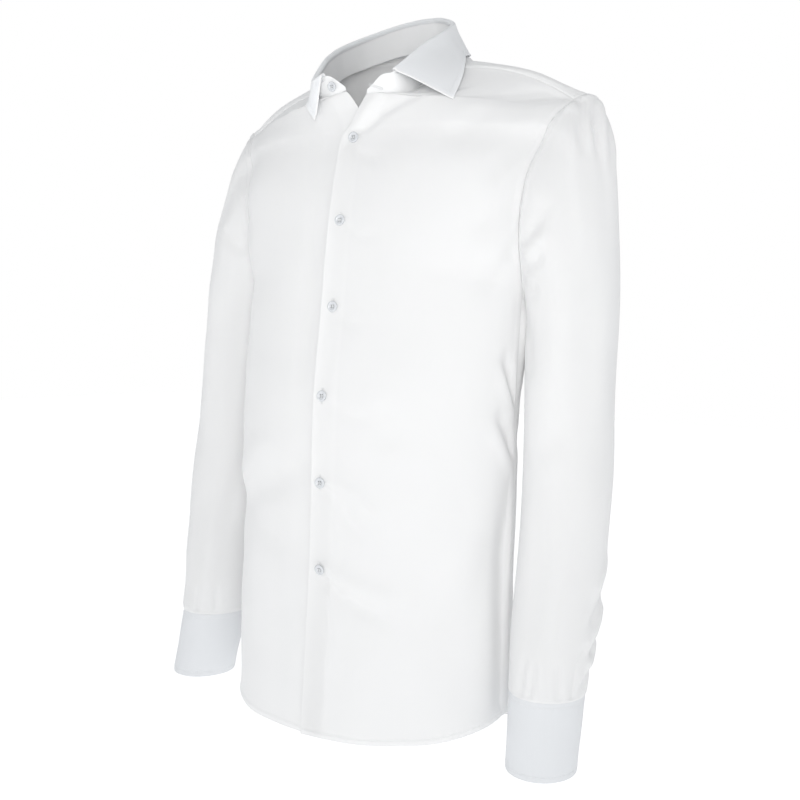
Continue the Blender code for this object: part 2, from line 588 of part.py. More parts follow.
def cloth(collection, name, grid, thickness, inside, trim=(0, 0, 0, 0), closed=False):
    """A sheet whose outer face lies on the grid, as an open surface with Solidify that thickens it inwards.

    `inside` is a point behind the first face. `trim` is how far the first row, last row, first column and last column
    are drawn back from their seams.
    """
    grid = grid.copy()
    for lines, amounts in ((grid, trim[:2]), (grid.transpose(1, 0, 2), trim[2:])):
        for edge, inner, amount in ((0, 1, amounts[0]), (-1, -2, amounts[1])):
            step = lines[inner] - lines[edge]
            lines[edge] += step / np.linalg.norm(step, axis=1)[:, None] * amount
    rows, columns = grid.shape[:2]
    bm = bmesh.new()
    points = [[bm.verts.new(p) for p in row] for row in grid]
    for i in range(rows - 1):
        for j in range(columns if closed else columns - 1):
            k = (j + 1) % columns
            bm.faces.new((points[i][j], points[i][k], points[i + 1][k], points[i + 1][j]))
    bm.faces.ensure_lookup_table()
    face = bm.faces[0]
    face.normal_update()
    if face.normal.dot(face.calc_center_median() - Vector(inside)) < 0:
        bmesh.ops.reverse_faces(bm, faces=bm.faces)
    mesh = bpy.data.meshes.new(name)
    bm.to_mesh(mesh)
    bm.free()
    mesh.shade_smooth()
    mesh.materials.append(material("white_poplin", (0.86, 0.87, 0.88), 0.8))
    piece = bpy.data.objects.new(name, mesh)
    collection.objects.link(piece)
    solidify = piece.modifiers.new("Thickness", "SOLIDIFY")
    solidify.thickness = thickness
    solidify.offset = -1.0
    solidify.use_even_offset = False
    return piece


def button(collection, name, point, normal, scale=1.0):
    """A turned button with a dished top and a raised rim, its flat back at the point."""
    rim, high = BUTTON_RADIUS * scale, BUTTON_HEIGHT * scale
    profile = (
        (0.0, 0.62 * high),
        (0.50 * rim, 0.62 * high),
        (0.68 * rim, high),
        (0.88 * rim, high),
        (rim, 0.66 * high),
        (0.94 * rim, 0.22 * high),
        (0.70 * rim, 0.0),
        (0.0, 0.0),
    )
    mesh = bpy.data.meshes.new(name)
    mesh.from_pydata([(x, 0, z) for x, z in profile], [(i, i + 1) for i in range(len(profile) - 1)], [])
    mesh.materials.append(material("button_pearl", (0.80, 0.82, 0.84), 0.25))
    piece = bpy.data.objects.new(name, mesh)
    collection.objects.link(piece)
    turned = piece.modifiers.new("Turned", "SCREW")
    turned.steps = turned.render_steps = BUTTON_STEPS
    turned.use_merge_vertices = True
    turned.merge_threshold = 0.00001
    turned.use_smooth_shade = True
    piece.location = point
    piece.rotation_euler = Vector(normal).to_track_quat("Z", "Y").to_euler()
    return piece


def grid_point(grid, row, column):
    """The place and the unit normal of a grid at fractional row and column numbers."""
    i, j = int(row), int(column)
    a, b = row - i, column - j
    p, q, r, s = grid[i, j], grid[i, j + 1], grid[i + 1, j], grid[i + 1, j + 1]
    point = (p * (1 - b) + q * b) * (1 - a) + (r * (1 - b) + s * b) * a
    normal = np.cross((q - p) * (1 - a) + (s - r) * a, (r - p) * (1 - b) + (s - q) * b)
    return point, normal / np.linalg.norm(normal)


def find_on_front(grid, x, z):
    """The fractional row and column of the front's grid that lie at x and height z."""
    best = None
    for i in range(len(grid) - 1):
        columns = np.interp(x, grid[i, :, 0], np.arange(grid.shape[1]))
        low = np.interp(columns, np.arange(grid.shape[1]), grid[i, :, 2])
        high = np.interp(columns, np.arange(grid.shape[1]), grid[i + 1, :, 2])
        if low <= z <= high:
            best = (i + (z - low) / (high - low), columns)
            break
    return best


def main():
    """Builds the shirt."""
    for old in list(bpy.data.objects):
        bpy.data.objects.remove(old, do_unlink=True)
    shirt = bpy.data.collections.new("long_sleeve_dress_shirt")
    bpy.context.scene.collection.children.link(shirt)
    seam = SEAM_TRIM

    left_front = front_surface("left")
    cloth(shirt, "left_front", left_front, WALL, (0.05, 0.0, -0.7), trim=(0, seam, 0, seam))
    cloth(shirt, "right_front", front_surface("right"), WALL, (-0.05, 0.0, -0.7), trim=(0, seam, 0, seam))
    cloth(shirt, "back", back_surface(), WALL, (0.0, 0.0, -0.7), trim=(0, CORNER_TRIM, seam, seam))
    cloth(shirt, "yoke", yoke_surface(), WALL, (0.0, 0.0, -0.3), trim=(seam, seam, seam, CORNER_TRIM))

    cuff, gauntlet = cuff_surface(), gauntlet_surface()
    for side, sign in (("left", 1), ("right", -1)):
        axis = (0.2195 * sign, 0.0, -0.68)
        sleeve = hang(sleeve_surface(side), side)
        cloth(shirt, side + "_sleeve", sleeve, WALL, (0.17 * sign, 0.03, -0.15), closed=True)
        cloth(shirt, side + "_cuff", hang(cuff, side), COLLAR_WALL, axis)
        cloth(shirt, side + "_gauntlet", hang(gauntlet, side), WALL * 0.9, axis)
        row, columns = CUFF_BUTTON_AT
        place, normal = grid_point(hang(cuff, side), row, cuff.shape[1] - columns)
        if np.dot(normal, place - np.array(axis)) < 0:
            normal = -normal
        button(shirt, side + "_cuff_button", place + normal * CUFF_BUTTON_STAND, normal, SMALL_BUTTON_SCALE)

    cloth(shirt, "collar_band", whole_collar(band_half), COLLAR_WALL, (0.0, 0.0, -0.02))
    cloth(shirt, "collar_leaf", whole_collar(leaf_half), COLLAR_WALL, (-0.30, -0.20, 0.0))

    for number in range(FRONT_BUTTONS):
        height = FIRST_BUTTON_Z - (FIRST_TO_SECOND + BUTTON_PITCH * (number - 1) if number else 0)
        row, column = find_on_front(left_front, 0.0, height)
        place, normal = grid_point(left_front, row, column)
        normal = normal if normal[1] < 0 else -normal
        button(shirt, f"front_button_{number + 1}", place + normal * SEAM_GAP * 1.5, normal)

    band = band_half("right")
    row, columns = COLLAR_BUTTON_AT
    place, normal = grid_point(band, row, band.shape[1] - columns)
    normal = normal if normal[1] < 0 else -normal
    button(shirt, "collar_button", place + normal * SEAM_GAP * 2, normal, SMALL_BUTTON_SCALE)


main()
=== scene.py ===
"""A long sleeve dress shirt in white poplin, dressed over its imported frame.

Metres, +Z up. The wearer faces -Y and the wearer's left is +X. Every cut piece of cloth is a fine grid on the same
lines as the frame's solid of that name, pressed into folds and given its real thickness. Folds are placed on a panel by
their distance from the opening edge, the centre or the sleeve's outer line, and by height.
"""

from __future__ import annotations

import logging
import math
from dataclasses import dataclass, field
from enum import Enum
from typing import Iterable, Sequence

import bpy
import numpy as np
from mathutils import Matrix, Vector

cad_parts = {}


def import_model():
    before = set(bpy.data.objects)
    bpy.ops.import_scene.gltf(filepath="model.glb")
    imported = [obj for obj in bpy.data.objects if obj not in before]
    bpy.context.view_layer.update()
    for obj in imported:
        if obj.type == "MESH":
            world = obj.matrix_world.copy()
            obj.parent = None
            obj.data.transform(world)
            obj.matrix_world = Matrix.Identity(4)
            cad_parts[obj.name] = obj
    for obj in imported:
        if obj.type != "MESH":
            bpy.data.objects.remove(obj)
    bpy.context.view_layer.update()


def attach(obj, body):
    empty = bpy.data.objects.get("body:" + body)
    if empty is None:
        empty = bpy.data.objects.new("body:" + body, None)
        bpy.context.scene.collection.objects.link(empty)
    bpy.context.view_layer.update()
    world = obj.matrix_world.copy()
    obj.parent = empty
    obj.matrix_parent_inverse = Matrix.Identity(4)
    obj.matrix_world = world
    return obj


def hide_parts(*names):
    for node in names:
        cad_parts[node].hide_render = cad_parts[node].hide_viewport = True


LOG = logging.getLogger("shirt")

# --- Curves and tables -----------------------------------------------------------------------------------------------


def smooth(rows: np.ndarray, at: np.ndarray) -> np.ndarray:
    """A soft curve through rows, read at fractional row numbers.

    Args:
        rows: The points that the curve passes through, one to a row.
        at: Row numbers, which may lie between rows.

    Returns:
        One point for each row number.
    """
    at = np.clip(np.atleast_1d(np.asarray(at, dtype=float)), 0, len(rows) - 1)
    first = np.minimum(at.astype(int), len(rows) - 2)
    t = (at - first)[:, None]
    slopes = np.gradient(rows, axis=0)
    a, b = rows[first], rows[first + 1]
    return (
        (2 * t**3 - 3 * t**2 + 1) * a
        + (t**3 - 2 * t**2 + t) * slopes[first]
        + (3 * t**2 - 2 * t**3) * b
        + (t**3 - t**2) * slopes[first + 1]
    )


def bezier(points: Sequence[np.ndarray], t: np.ndarray) -> np.ndarray:
    """Cubic curves side by side.

    Args:
        points: The four control points, each an array of one point to a curve.
        t: Where each curve is read, from 0 to 1.

    Returns:
        An array of curves by places by coordinates.
    """
    p0, p1, p2, p3 = (p[:, None, :] for p in points)
    t = np.asarray(t)[None, :, None]
    return (1 - t) ** 3 * p0 + 3 * t * (1 - t) ** 2 * p1 + 3 * t * t * (1 - t) * p2 + t**3 * p3


def fade(value: np.ndarray, start: float, end: float) -> np.ndarray:
    """0 at start and 1 at end, with soft ends."""
    t = np.clip((np.asarray(value, dtype=float) - start) / (end - start), 0, 1)
    return t * t * (3 - 2 * t)


def unit(vectors: np.ndarray) -> np.ndarray:
    """Vectors along the last axis at length 1."""
    return vectors / np.maximum(np.linalg.norm(vectors, axis=-1, keepdims=True), 1e-12)


@dataclass(frozen=True)
class SizeTable:
    """Rows of sizes under named columns, read as soft curves between the rows.

    Args:
        columns: The columns' names, with spaces between them.
        rows: One tuple of sizes for each row.
    """

    columns: str
    rows: tuple[tuple[float, ...], ...]

    @property
    def last(self) -> int:
        """The last row's number."""
        return len(self.rows) - 1

    def pick(self, names: str) -> np.ndarray:
        """The named columns of every row."""
        order = self.columns.split()
        return np.array(self.rows, dtype=float)[:, [order.index(n) for n in names.split()]]

    def value(self, names: str, at: np.ndarray) -> np.ndarray:
        """The named columns at row numbers that may lie between rows."""
        return smooth(self.pick(names), at)

    def cornered(self, names: str, at: np.ndarray, corner: int) -> np.ndarray:
        """The named columns, where the curves on either side of one row end there.

        Args:
            names: The columns to read.
            at: Row numbers.
            corner: The row with the corner.

        Returns:
            One row of sizes for each row number.
        """
        at = np.atleast_1d(np.asarray(at, dtype=float))
        picked = self.pick(names)
        before, after = smooth(picked[: corner + 1], at), smooth(picked[corner:], at - corner)
        return np.where((at <= corner)[:, None], before, after)


class Side(Enum):
    """The wearer's left or right, with the sign of X on that side."""

    LEFT = 1
    RIGHT = -1

    @property
    def word(self) -> str:
        """The side's name in piece names."""
        return self.name.lower()

    @property
    def index(self) -> int:
        """Where the side's figure lies in a pair of left and right."""
        return 0 if self is Side.LEFT else 1


class Edge(Enum):
    """One edge of a panel's grid: the axis across it and the end it lies at."""

    FIRST_ROW = (0, 0)
    LAST_ROW = (0, -1)
    FIRST_COLUMN = (1, 0)
    LAST_COLUMN = (1, -1)


# --- Cloth -----------------------------------------------------------------------------------------------------------


@dataclass(frozen=True)
class Fold:
    """A soft ridge or trough along a short path on a panel.

    Args:
        path: Places on the panel, each its distance across and its height, in metres or radians and metres.
        depth: How far the crest stands out, or below zero how far the trough goes in.
        left: Half width on the path's left side, going along it.
        right: Half width on its right side.
        start: How strong the fold is at its first place, from 0 to 1.
        end: How strong it is at its last place.
        across: How many metres one step across the panel is, for a path that gives angles.
    """

    path: tuple[tuple[float, float], ...]
    depth: float
    left: float
    right: float
    start: float
    end: float
    across: float

    def height(self, places: np.ndarray) -> np.ndarray:
        """How far the fold moves each place out.

        Args:
            places: The panel's places, rows by columns by two.

        Returns:
            One height for each place.
        """
        scale = np.array((self.across, 1.0))
        points, where = np.array(self.path) * scale, places * scale
        lengths = np.linalg.norm(np.diff(points, axis=0), axis=1)
        total, gone = lengths.sum(), 0.0
        best = np.full(places.shape[:2], np.inf)
        sideways, along = np.zeros_like(best), np.zeros_like(best)
        for a, b, length in zip(points[:-1], points[1:], lengths):
            way = (b - a) / length
            reach = (where - a) @ way
            t = np.clip(reach, 0, length)
            off = where - a - t[..., None] * way
            distance = np.linalg.norm(off, axis=2)
            side = way[0] * (where - a)[..., 1] - way[1] * (where - a)[..., 0]
            nearer = distance < best
            best = np.where(nearer, distance, best)
            sideways = np.where(nearer, side, sideways)
            along = np.where(nearer, (gone + t) / total, along)
            gone += length
        width = np.where(sideways > 0, self.left, self.right)
        rise = self.start + (1 - self.start) * fade(along, 0, 0.4)
        fall = self.end + (1 - self.end) * fade(1 - along, 0, 0.4)
        return self.depth * np.exp(-((best / width) ** 2)) * rise * fall


@dataclass
class Panel:
    """One cut piece of cloth as a grid of points on its outer face.

    Args:
        name: The piece's name.
        grid: Points, rows by columns by three.
        inside: A point behind the cloth.
        places: Where folds are measured, rows by columns by two. It starts as the distance along each row and height.
        closed: True where the last column meets the first.
        ply: From 0 for one layer of cloth to 1 where it is doubled, rows by columns.
    """

    name: str
    grid: np.ndarray
    inside: tuple[float, float, float]
    places: np.ndarray | None = None
    closed: bool = False
    ply: np.ndarray = field(init=False)

    def __post_init__(self) -> None:
        """Measures the places and starts with one layer of cloth all over."""
        self.ply = np.zeros(self.grid.shape[:2])
        if self.places is None:
            self.places = np.stack((self.run(1), self.grid[..., 2]), 2)

    def run(self, axis: int) -> np.ndarray:
        """The distance along each line of the grid from its first point."""
        steps = np.linalg.norm(np.diff(self.grid, axis=axis), axis=2)
        start = np.zeros_like(np.take(steps, [0], axis))
        return np.concatenate((start, np.cumsum(steps, axis=axis)), axis)

    def from_edge(self, edge: Edge) -> tuple[np.ndarray, np.ndarray]:
        """How far each point lies from an edge, and how far along that edge.

        Args:
            edge: The edge to measure from.

        Returns:
            The distance from the edge and the distance along it, each rows by columns.
        """
        axis, end = edge.value
        away = self.run(axis)
        if end:
            away = np.take(away, [-1], axis) - away
        along = np.take(self.run(1 - axis), [end], axis)
        return away, np.broadcast_to(along, away.shape)

    def normals(self) -> np.ndarray:
        """Unit normals that point out of the cloth's outer face."""
        if self.closed:
            around = np.roll(self.grid, -1, 1) - np.roll(self.grid, 1, 1)
        else:
            around = np.gradient(self.grid, axis=1)
        found = unit(np.cross(around, np.gradient(self.grid, axis=0)))
        outward = np.sum(found * (self.grid - np.array(self.inside)))
        return found if outward > 0 else -found

    def push(self, height: np.ndarray) -> None:
        """Moves every point out along its normal."""
        self.grid = self.grid + self.normals() * height[..., None]

    def waver(self, height: float, length: float, seed: int, hold: np.ndarray | float = 1.0) -> None:
        """Lets the cloth lie a little unevenly.

        Args:
            height: How far it may stand out or in.
            length: How long the waves are.
            seed: Chooses the waves.
            hold: How free each point is to move, from 0 to 1.
        """
        rng = np.random.default_rng(seed)
        total = np.zeros(self.grid.shape[:2])
        for _ in range(7):
            way = unit(rng.normal(size=3) * (1.0, 1.0, 0.7))
            turns = 2 * math.pi / (length * rng.uniform(0.7, 1.6))
            total += np.sin(self.grid @ way * turns + rng.uniform(0, 2 * math.pi))
        self.push(height * total / 2.6 * hold)

    def freedom(self, held: Iterable[tuple[Edge, float]]) -> np.ndarray:
        """How free each point is to move: not at all on a sewn edge, and fully past the strip beside it.

        Args:
            held: The sewn edges and how wide the strip beside each is.

        Returns:
            A share from 0 to 1 for each point.
        """
        free = np.ones(self.grid.shape[:2])
        for edge, width in held:
            free = free * fade(self.from_edge(edge)[0], 0.0, width)
        return free

    def press(self, pressed: Iterable[Fold], hold: np.ndarray) -> None:
        """Presses the cloth into folds.

        Args:
            pressed: The folds.
            hold: How free each point is to move, from 0 to 1.
        """
        self.push(sum((f.height(self.places) for f in pressed), np.zeros(hold.shape)) * hold)

    def roll_hem(self, away: np.ndarray, width: float, height: float = 0.0005) -> None:
        """Raises the cloth over a rolled hem.

        Args:
            away: How far each point lies from the hem's edge.
            width: How wide the hem is.
            height: How far it stands out.
        """
        self.push(height * (1 - fade(away, width - 0.001, width + 0.0008)))

    def seam(self, edge: Edge, height: float, width: float, sink: float) -> None:
        """Raises the cloth over the allowance folded under an edge, and turns the edge itself down.

        Args:
            edge: The edge that is sewn.
            height: How far the allowance lifts the cloth.
            width: How wide the allowance is.
            sink: How far the edge goes down.
        """
        away, _ = self.from_edge(edge)
        lift = height * fade(away, 0.0, 0.0016) * (1 - fade(away, width, width + 0.003))
        self.push(lift - sink * (1 - fade(away, 0, 0.0018)))

    def pucker(self, edge: Edge, line: float, height: float, pitch: float = 0.008, spread: float = 0.005) -> None:
        """Draws the cloth up a little along a line of stitching.

        Args:
            edge: The edge that the stitching follows.
            line: How far the stitching lies from it.
            height: How far the cloth stands out between pulls.
            pitch: About how far apart the pulls are.
            spread: How far the pulls reach to either side.
        """
        away, along = self.from_edge(edge)
        wave = np.sin(2 * math.pi * along / pitch + 1.7 * np.sin(along * 61) + 0.9 * np.sin(along * 143))
        wave *= 0.65 + 0.35 * np.sin(along * 37 + 1.0)
        groove = -0.6 * np.exp(-(((away - line) / 0.0012) ** 2))
        self.push(height * (wave * np.exp(-(((away - line) / spread) ** 2)) + groove))

    def layers(self, edge: Edge, width: float) -> None:
        """Marks the cloth as doubled from an edge to a given distance."""
        away, _ = self.from_edge(edge)
        self.ply = np.maximum(self.ply, 1 - fade(away, width - 0.0004, width + 0.0004))

    def inset(self, edge: Edge, distance: float, trim: tuple[float, float] = (0, 0),
              lift: float = 0.0002) -> np.ndarray:
        """A line on the cloth at an even distance from one edge.

        Args:
            edge: The edge to follow.
            distance: How far from it the line runs.
            trim: How much is left off at its start and end.
            lift: How far over the cloth it lies.

        Returns:
            The line's points.
        """
        axis, end = edge.value
        away, along = self.from_edge(edge)
        raised = self.grid + self.normals() * lift
        away, raised, along = (np.moveaxis(v, axis, 0) for v in (away, raised, along))
        if end:
            away, raised = away[::-1], raised[::-1]
        line = np.stack([[np.interp(distance, a, p[:, i]) for i in range(3)] for a, p in
                         zip(away.T, raised.transpose(1, 0, 2))])
        kept = (along[0] >= trim[0]) & (along[0] <= along[0][-1] - trim[1])
        return line[kept]

    def mesh(self, thickness: float, free: Iterable[Edge] = ()) -> bpy.types.Mesh:
        """The cloth as one closed shell with a rounded rim on its free edges.

        Args:
            thickness: How thick the cloth is.
            free: The edges that aren't sewn to another panel.

        Returns:
            The shell, with a UV map in metres and the layers as an attribute.
        """
        rows, columns = self.grid.shape[:2]
        normals = self.normals()
        inner = self.grid - normals * thickness
        outer_ids = np.arange(rows * columns).reshape(rows, columns)
        inner_ids = outer_ids + rows * columns
        across = self.run(1)
        if self.closed:
            turn = np.linalg.norm(self.grid[:, :1] - self.grid[:, -1:], axis=2)
            across = np.concatenate((across, across[:, -1:] + turn), 1)
            outer_ids, inner_ids = (np.concatenate((v, v[:, :1]), 1) for v in (outer_ids, inner_ids))
        down = self.run(0)
        down = np.concatenate((down, down[:, :1]), 1) if self.closed else down
        chart = np.stack((across, down), 2)
        quads, uvs = [], []
        corners = ((slice(None, -1), slice(None, -1)), (slice(None, -1), slice(1, None)),
                   (slice(1, None), slice(1, None)), (slice(1, None), slice(None, -1)))
        a, b, d = self.grid[0, 0], self.grid[0, 1], self.grid[1, 0]
        forward = np.dot(np.cross(b - a, d - a), normals[0, 0]) > 0
        for ids, ahead in ((outer_ids, forward), (inner_ids, not forward)):
            order = corners if ahead else corners[::-1]
            quads.append(np.stack([ids[c] for c in order], 2).reshape(-1, 4))
            uvs.append(np.stack([chart[c] for c in order], 2).reshape(-1, 2))
        points = [self.grid.reshape(-1, 3), inner.reshape(-1, 3)]
        ply = [self.ply.ravel(), self.ply.ravel()]
        count = 2 * rows * columns
        for loop, outward in self._loops(set(free)):
            flat = loop[:, 0] * columns + loop[:, 1] % columns
            middle = (points[0][flat] + points[1][flat]) / 2
            up = normals.reshape(-1, 3)[flat] * thickness / 2
            rings = [flat]
            for angle in (math.pi / 4, math.pi / 2, 3 * math.pi / 4):
                points.append(middle + up * math.cos(angle) + outward * (thickness / 2 * math.sin(angle)))
                ply.append(self.ply.ravel()[flat])
                rings.append(count + np.arange(len(flat)))
                count += len(flat)
            rings.append(flat + rows * columns)
            base = chart.reshape(-1, 2)[loop[:, 0] * chart.shape[1] + loop[:, 1]]
            for upper, lower in zip(rings[:-1], rings[1:]):
                quad = np.stack((upper, np.roll(upper, -1), np.roll(lower, -1), lower), 1)
                uv = np.stack((base, np.roll(base, -1, 0), np.roll(base, -1, 0), base), 1)
                quads.append(quad[:, ::-1] if forward else quad)
                uvs.append((uv[:, ::-1] if forward else uv).reshape(-1, 2))
        mesh = bpy.data.meshes.new(self.name)
        mesh.from_pydata(np.concatenate(points).tolist(), [], np.concatenate(quads).tolist())
        layer = mesh.uv_layers.new(name="cloth")
        layer.data.foreach_set("uv", np.concatenate(uvs).astype(np.float32).ravel())
        marks = mesh.attributes.new("ply", "FLOAT", "POINT")
        marks.data.foreach_set("value", np.concatenate(ply).astype(np.float32))
        mesh.shade_smooth()
        mesh.set_sharp_from_angle(angle=math.radians(60))
        return mesh

    def _loops(self, free: set[Edge]) -> list[tuple[np.ndarray, np.ndarray]]:
        """The grid's rims in order, and which way each of their points faces along the cloth.

        Args:
            free: The edges whose rim is rounded.

        Returns:
            For each rim its row and column numbers, and its outward directions.
        """
        rows, columns = self.grid.shape[:2]
        ways = {
            Edge.FIRST_ROW: (self.grid[0] - self.grid[1]),
            Edge.LAST_ROW: (self.grid[-1] - self.grid[-2]),
            Edge.FIRST_COLUMN: (self.grid[:, 0] - self.grid[:, 1]),
            Edge.LAST_COLUMN: (self.grid[:, -1] - self.grid[:, -2]),
        }
        ways = {e: unit(w) * (1.0 if e in free else 0.0) for e, w in ways.items()}
        top = np.stack((np.zeros(columns, int), np.arange(columns)), 1)
        bottom = np.stack((np.full(columns, rows - 1), np.arange(columns)), 1)
        if self.closed:
            return [(top, ways[Edge.FIRST_ROW]), (bottom[::-1], ways[Edge.LAST_ROW][::-1])]
        right = np.stack((np.arange(rows), np.full(rows, columns - 1)), 1)
        left = np.stack((np.arange(rows), np.zeros(rows, int)), 1)
        loop = np.concatenate((top[:-1], right[:-1], bottom[:0:-1], left[:0:-1]))
        outward = np.zeros((len(loop), 3))
        for edge, on in (
            (Edge.FIRST_ROW, loop[:, 0] == 0),
            (Edge.LAST_ROW, loop[:, 0] == rows - 1),
            (Edge.FIRST_COLUMN, loop[:, 1] == 0),
            (Edge.LAST_COLUMN, loop[:, 1] == columns - 1),
        ):
            index = loop[on][:, 1] if edge.value[0] == 0 else loop[on][:, 0]
            outward[on] += ways[edge][index]
        length = np.linalg.norm(outward, axis=1, keepdims=True)
        return [(loop, outward / np.maximum(length, 1.0))]


# --- Shader maths ----------------------------------------------------------------------------------------------------


def opaque(colour: Sequence[float], share: float = 1.0) -> tuple[float, ...]:
    """A colour with full alpha, darkened to a share of itself."""
    return (*(part * share for part in colour), 1.0)


class Value:
    """A number socket that Python's operators add Math nodes to."""

    def __init__(self, shader: Shader, socket: bpy.types.NodeSocket) -> None:
        """Wraps one output socket of a shader's tree."""
        self.shader = shader
        self.socket = socket

    def _math(self, operation: str, *values: Value | float) -> Value:
        """The result of one Math node on the values."""
        return self.shader.node("ShaderNodeMath", {"operation": operation}, *values)

    def __add__(self, other: Value | float) -> Value:
        """self + other."""
        return self._math("ADD", self, other)

    def __radd__(self, other: float) -> Value:
        """other + self."""
        return self._math("ADD", other, self)

    def __rsub__(self, other: float) -> Value:
        """other - self."""
        return self._math("SUBTRACT", other, self)

    def __mul__(self, other: Value | float) -> Value:
        """self * other."""
        return self._math("MULTIPLY", self, other)

    def sine(self) -> Value:
        """The sine of the value."""
        return self._math("SINE", self)


class Shader:
    """A material's node tree, built from Python values."""

    def __init__(self, name: str) -> None:
        """Makes a material with an empty Principled shader."""
        self.material = bpy.data.materials.new(name)
        self.material.use_nodes = True
        self.tree = self.material.node_tree
        self.principled = self.tree.nodes["Principled BSDF"]

    def node(self, kind: str, settings: dict[str, object], *values: object, output: int = 0) -> Value:
        """Adds a node.

        Args:
            kind: The node's type.
            settings: Its own properties, which are set first.
            values: What goes into its input sockets in order, with None for one that stays as it is.
            output: Which output is wanted.

        Returns:
            The chosen output.
        """
        made = self.tree.nodes.new(kind)
        for key, value in settings.items():
            setattr(made, key, value)
        inputs = [s for s in made.inputs if s.enabled] if kind == "ShaderNodeMix" else list(made.inputs)
        for socket, value in zip(inputs, values):
            self.feed(socket, value)
        outputs = [s for s in made.outputs if s.enabled] if kind == "ShaderNodeMix" else list(made.outputs)
        return Value(self, outputs[output])

    def feed(self, socket: bpy.types.NodeSocket, value: object) -> None:
        """Links a value to a socket, or sets the socket to it."""
        if isinstance(value, Value):
            self.tree.links.new(value.socket, socket)
        elif value is not None:
            socket.default_value = value

    def place(self) -> Value:
        """Where a point lies on its object, in metres."""
        return self.node("ShaderNodeTexCoord", {}, output=3)

    def parts(self, vector: Value) -> tuple[Value, Value, Value]:
        """The three parts of a vector."""
        made = self.tree.nodes.new("ShaderNodeSeparateXYZ")
        self.tree.links.new(vector.socket, made.inputs[0])
        return tuple(Value(self, made.outputs[i]) for i in range(3))

    def blend(self, factor: Value | float, first: object, second: object) -> Value:
        """A colour between two colours."""
        return self.node("ShaderNodeMix", {"data_type": "RGBA"}, factor, first, second)

    def noise(self, vector: Value, scale: float, detail: float = 2.0) -> Value:
        """Soft noise from 0 to 1."""
        return self.node("ShaderNodeTexNoise", {}, vector, None, scale, detail)

    def bump(self, height: Value, distance: float, strength: float) -> Value:
        """A normal tilted by a height in metres times the distance."""
        return self.node("ShaderNodeBump", {}, strength, distance, None, height)

    def surface(self, **inputs: object) -> bpy.types.Material:
        """Feeds the Principled shader's sockets, named with _ for a space, and gives the material back."""
        for key, value in inputs.items():
            self.feed(self.principled.inputs[key.replace("_", " ").title().replace("Ior", "IOR")], value)
        return self.material


@dataclass(frozen=True)
class Poplin:
    """White poplin: a fine even weave, whiter where it is doubled.

    Args:
        name: The material's name.
        single: The colour of one layer.
        doubled: The colour where cloth lies under it. In the cuffs' and the leaf's finishes it is set darker and bluer
            as painted shade, and in the band's paler as painted light.
        thread: How far apart the threads are, in metres.
        roughness: How dull the cloth is.
        relief: How strongly the weave shows.
        glow: How much light passes through the cloth.
    """

    name: str
    single: tuple[float, float, float] = (0.850, 0.852, 0.855)
    doubled: tuple[float, float, float] = (0.868, 0.870, 0.872)
    thread: float = 0.00045
    roughness: float = 0.78
    relief: float = 0.12
    glow: float = 0.35

    def build(self) -> bpy.types.Material:
        """The material."""
        shader = Shader(self.name)
        uv = shader.node("ShaderNodeUVMap", {"uv_map": "cloth"})
        across, along, _ = shader.parts(uv)
        place = shader.place()
        turns = 2 * math.pi / self.thread
        weft = (across * turns).sine()
        warp = (along * turns).sine()
        weave = weft * warp
        slub = shader.noise(place, 900.0, 3.0)
        crinkle = shader.noise(place, 55.0, 4.0)
        tone = shader.noise(place, 9.0, 2.0)
        ply = shader.node("ShaderNodeAttribute", {"attribute_name": "ply"}, output=2)
        single = shader.blend(tone, opaque(self.single, 0.988), opaque(self.single))
        colour = shader.blend(ply, single, opaque(self.doubled))
        height = weave * 0.5 + slub * 0.8 + crinkle * 2.2
        return shader.surface(
            base_color=colour,
            roughness=self.roughness - slub * 0.06,
            normal=shader.bump(height, 0.00012, self.relief),
            sheen_weight=0.08,
            sheen_roughness=0.5,
            specular_ior_level=0.25,
            subsurface_weight=self.glow,
            subsurface_radius=(0.0022, 0.0022, 0.0022),
            subsurface_scale=1.0,
        )


@dataclass(frozen=True)
class Pearl:
    """A pale pearly button.

    Args:
        name: The material's name.
        pale: The lighter colour.
        shade: The darker colour of its clouds.
    """

    name: str
    pale: tuple[float, float, float] = (0.74, 0.76, 0.78)
    shade: tuple[float, float, float] = (0.56, 0.58, 0.61)

    def build(self) -> bpy.types.Material:
        """The material."""
        shader = Shader(self.name)
        place = shader.place()
        cloud = shader.noise(place, 260.0, 3.0)
        ring = shader.noise(place, 900.0, 1.0)
        return shader.surface(
            base_color=shader.blend(cloud, opaque(self.shade), opaque(self.pale)),
            roughness=0.2 + cloud * 0.15,
            normal=shader.bump(ring, 0.0001, 0.2),
            coat_weight=0.4,
            coat_roughness=0.15,
        )


@dataclass(frozen=True)
class Thread:
    """White sewing thread.

    Args:
        name: The material's name.
        colour: Its colour.
        twist: How many turns it has to the metre.
    """

    name: str
    colour: tuple[float, float, float] = (0.86, 0.87, 0.88)
    twist: float = 1800.0

    def build(self) -> bpy.types.Material:
        """The material."""
        shader = Shader(self.name)
        place = shader.place()
        x, y, z = shader.parts(place)
        ply = ((x + y + z) * (self.twist * 2 * math.pi)).sine()
        # The thread is darker in the hollows of its twist, in step with the bump: painted shade.
        return shader.surface(
            base_color=shader.blend(ply * 0.5 + 0.5, opaque(self.colour, 0.93), opaque(self.colour)),
            roughness=0.55,
            normal=shader.bump(ply, 0.0001, 0.3),
            sheen_weight=0.1,
        )


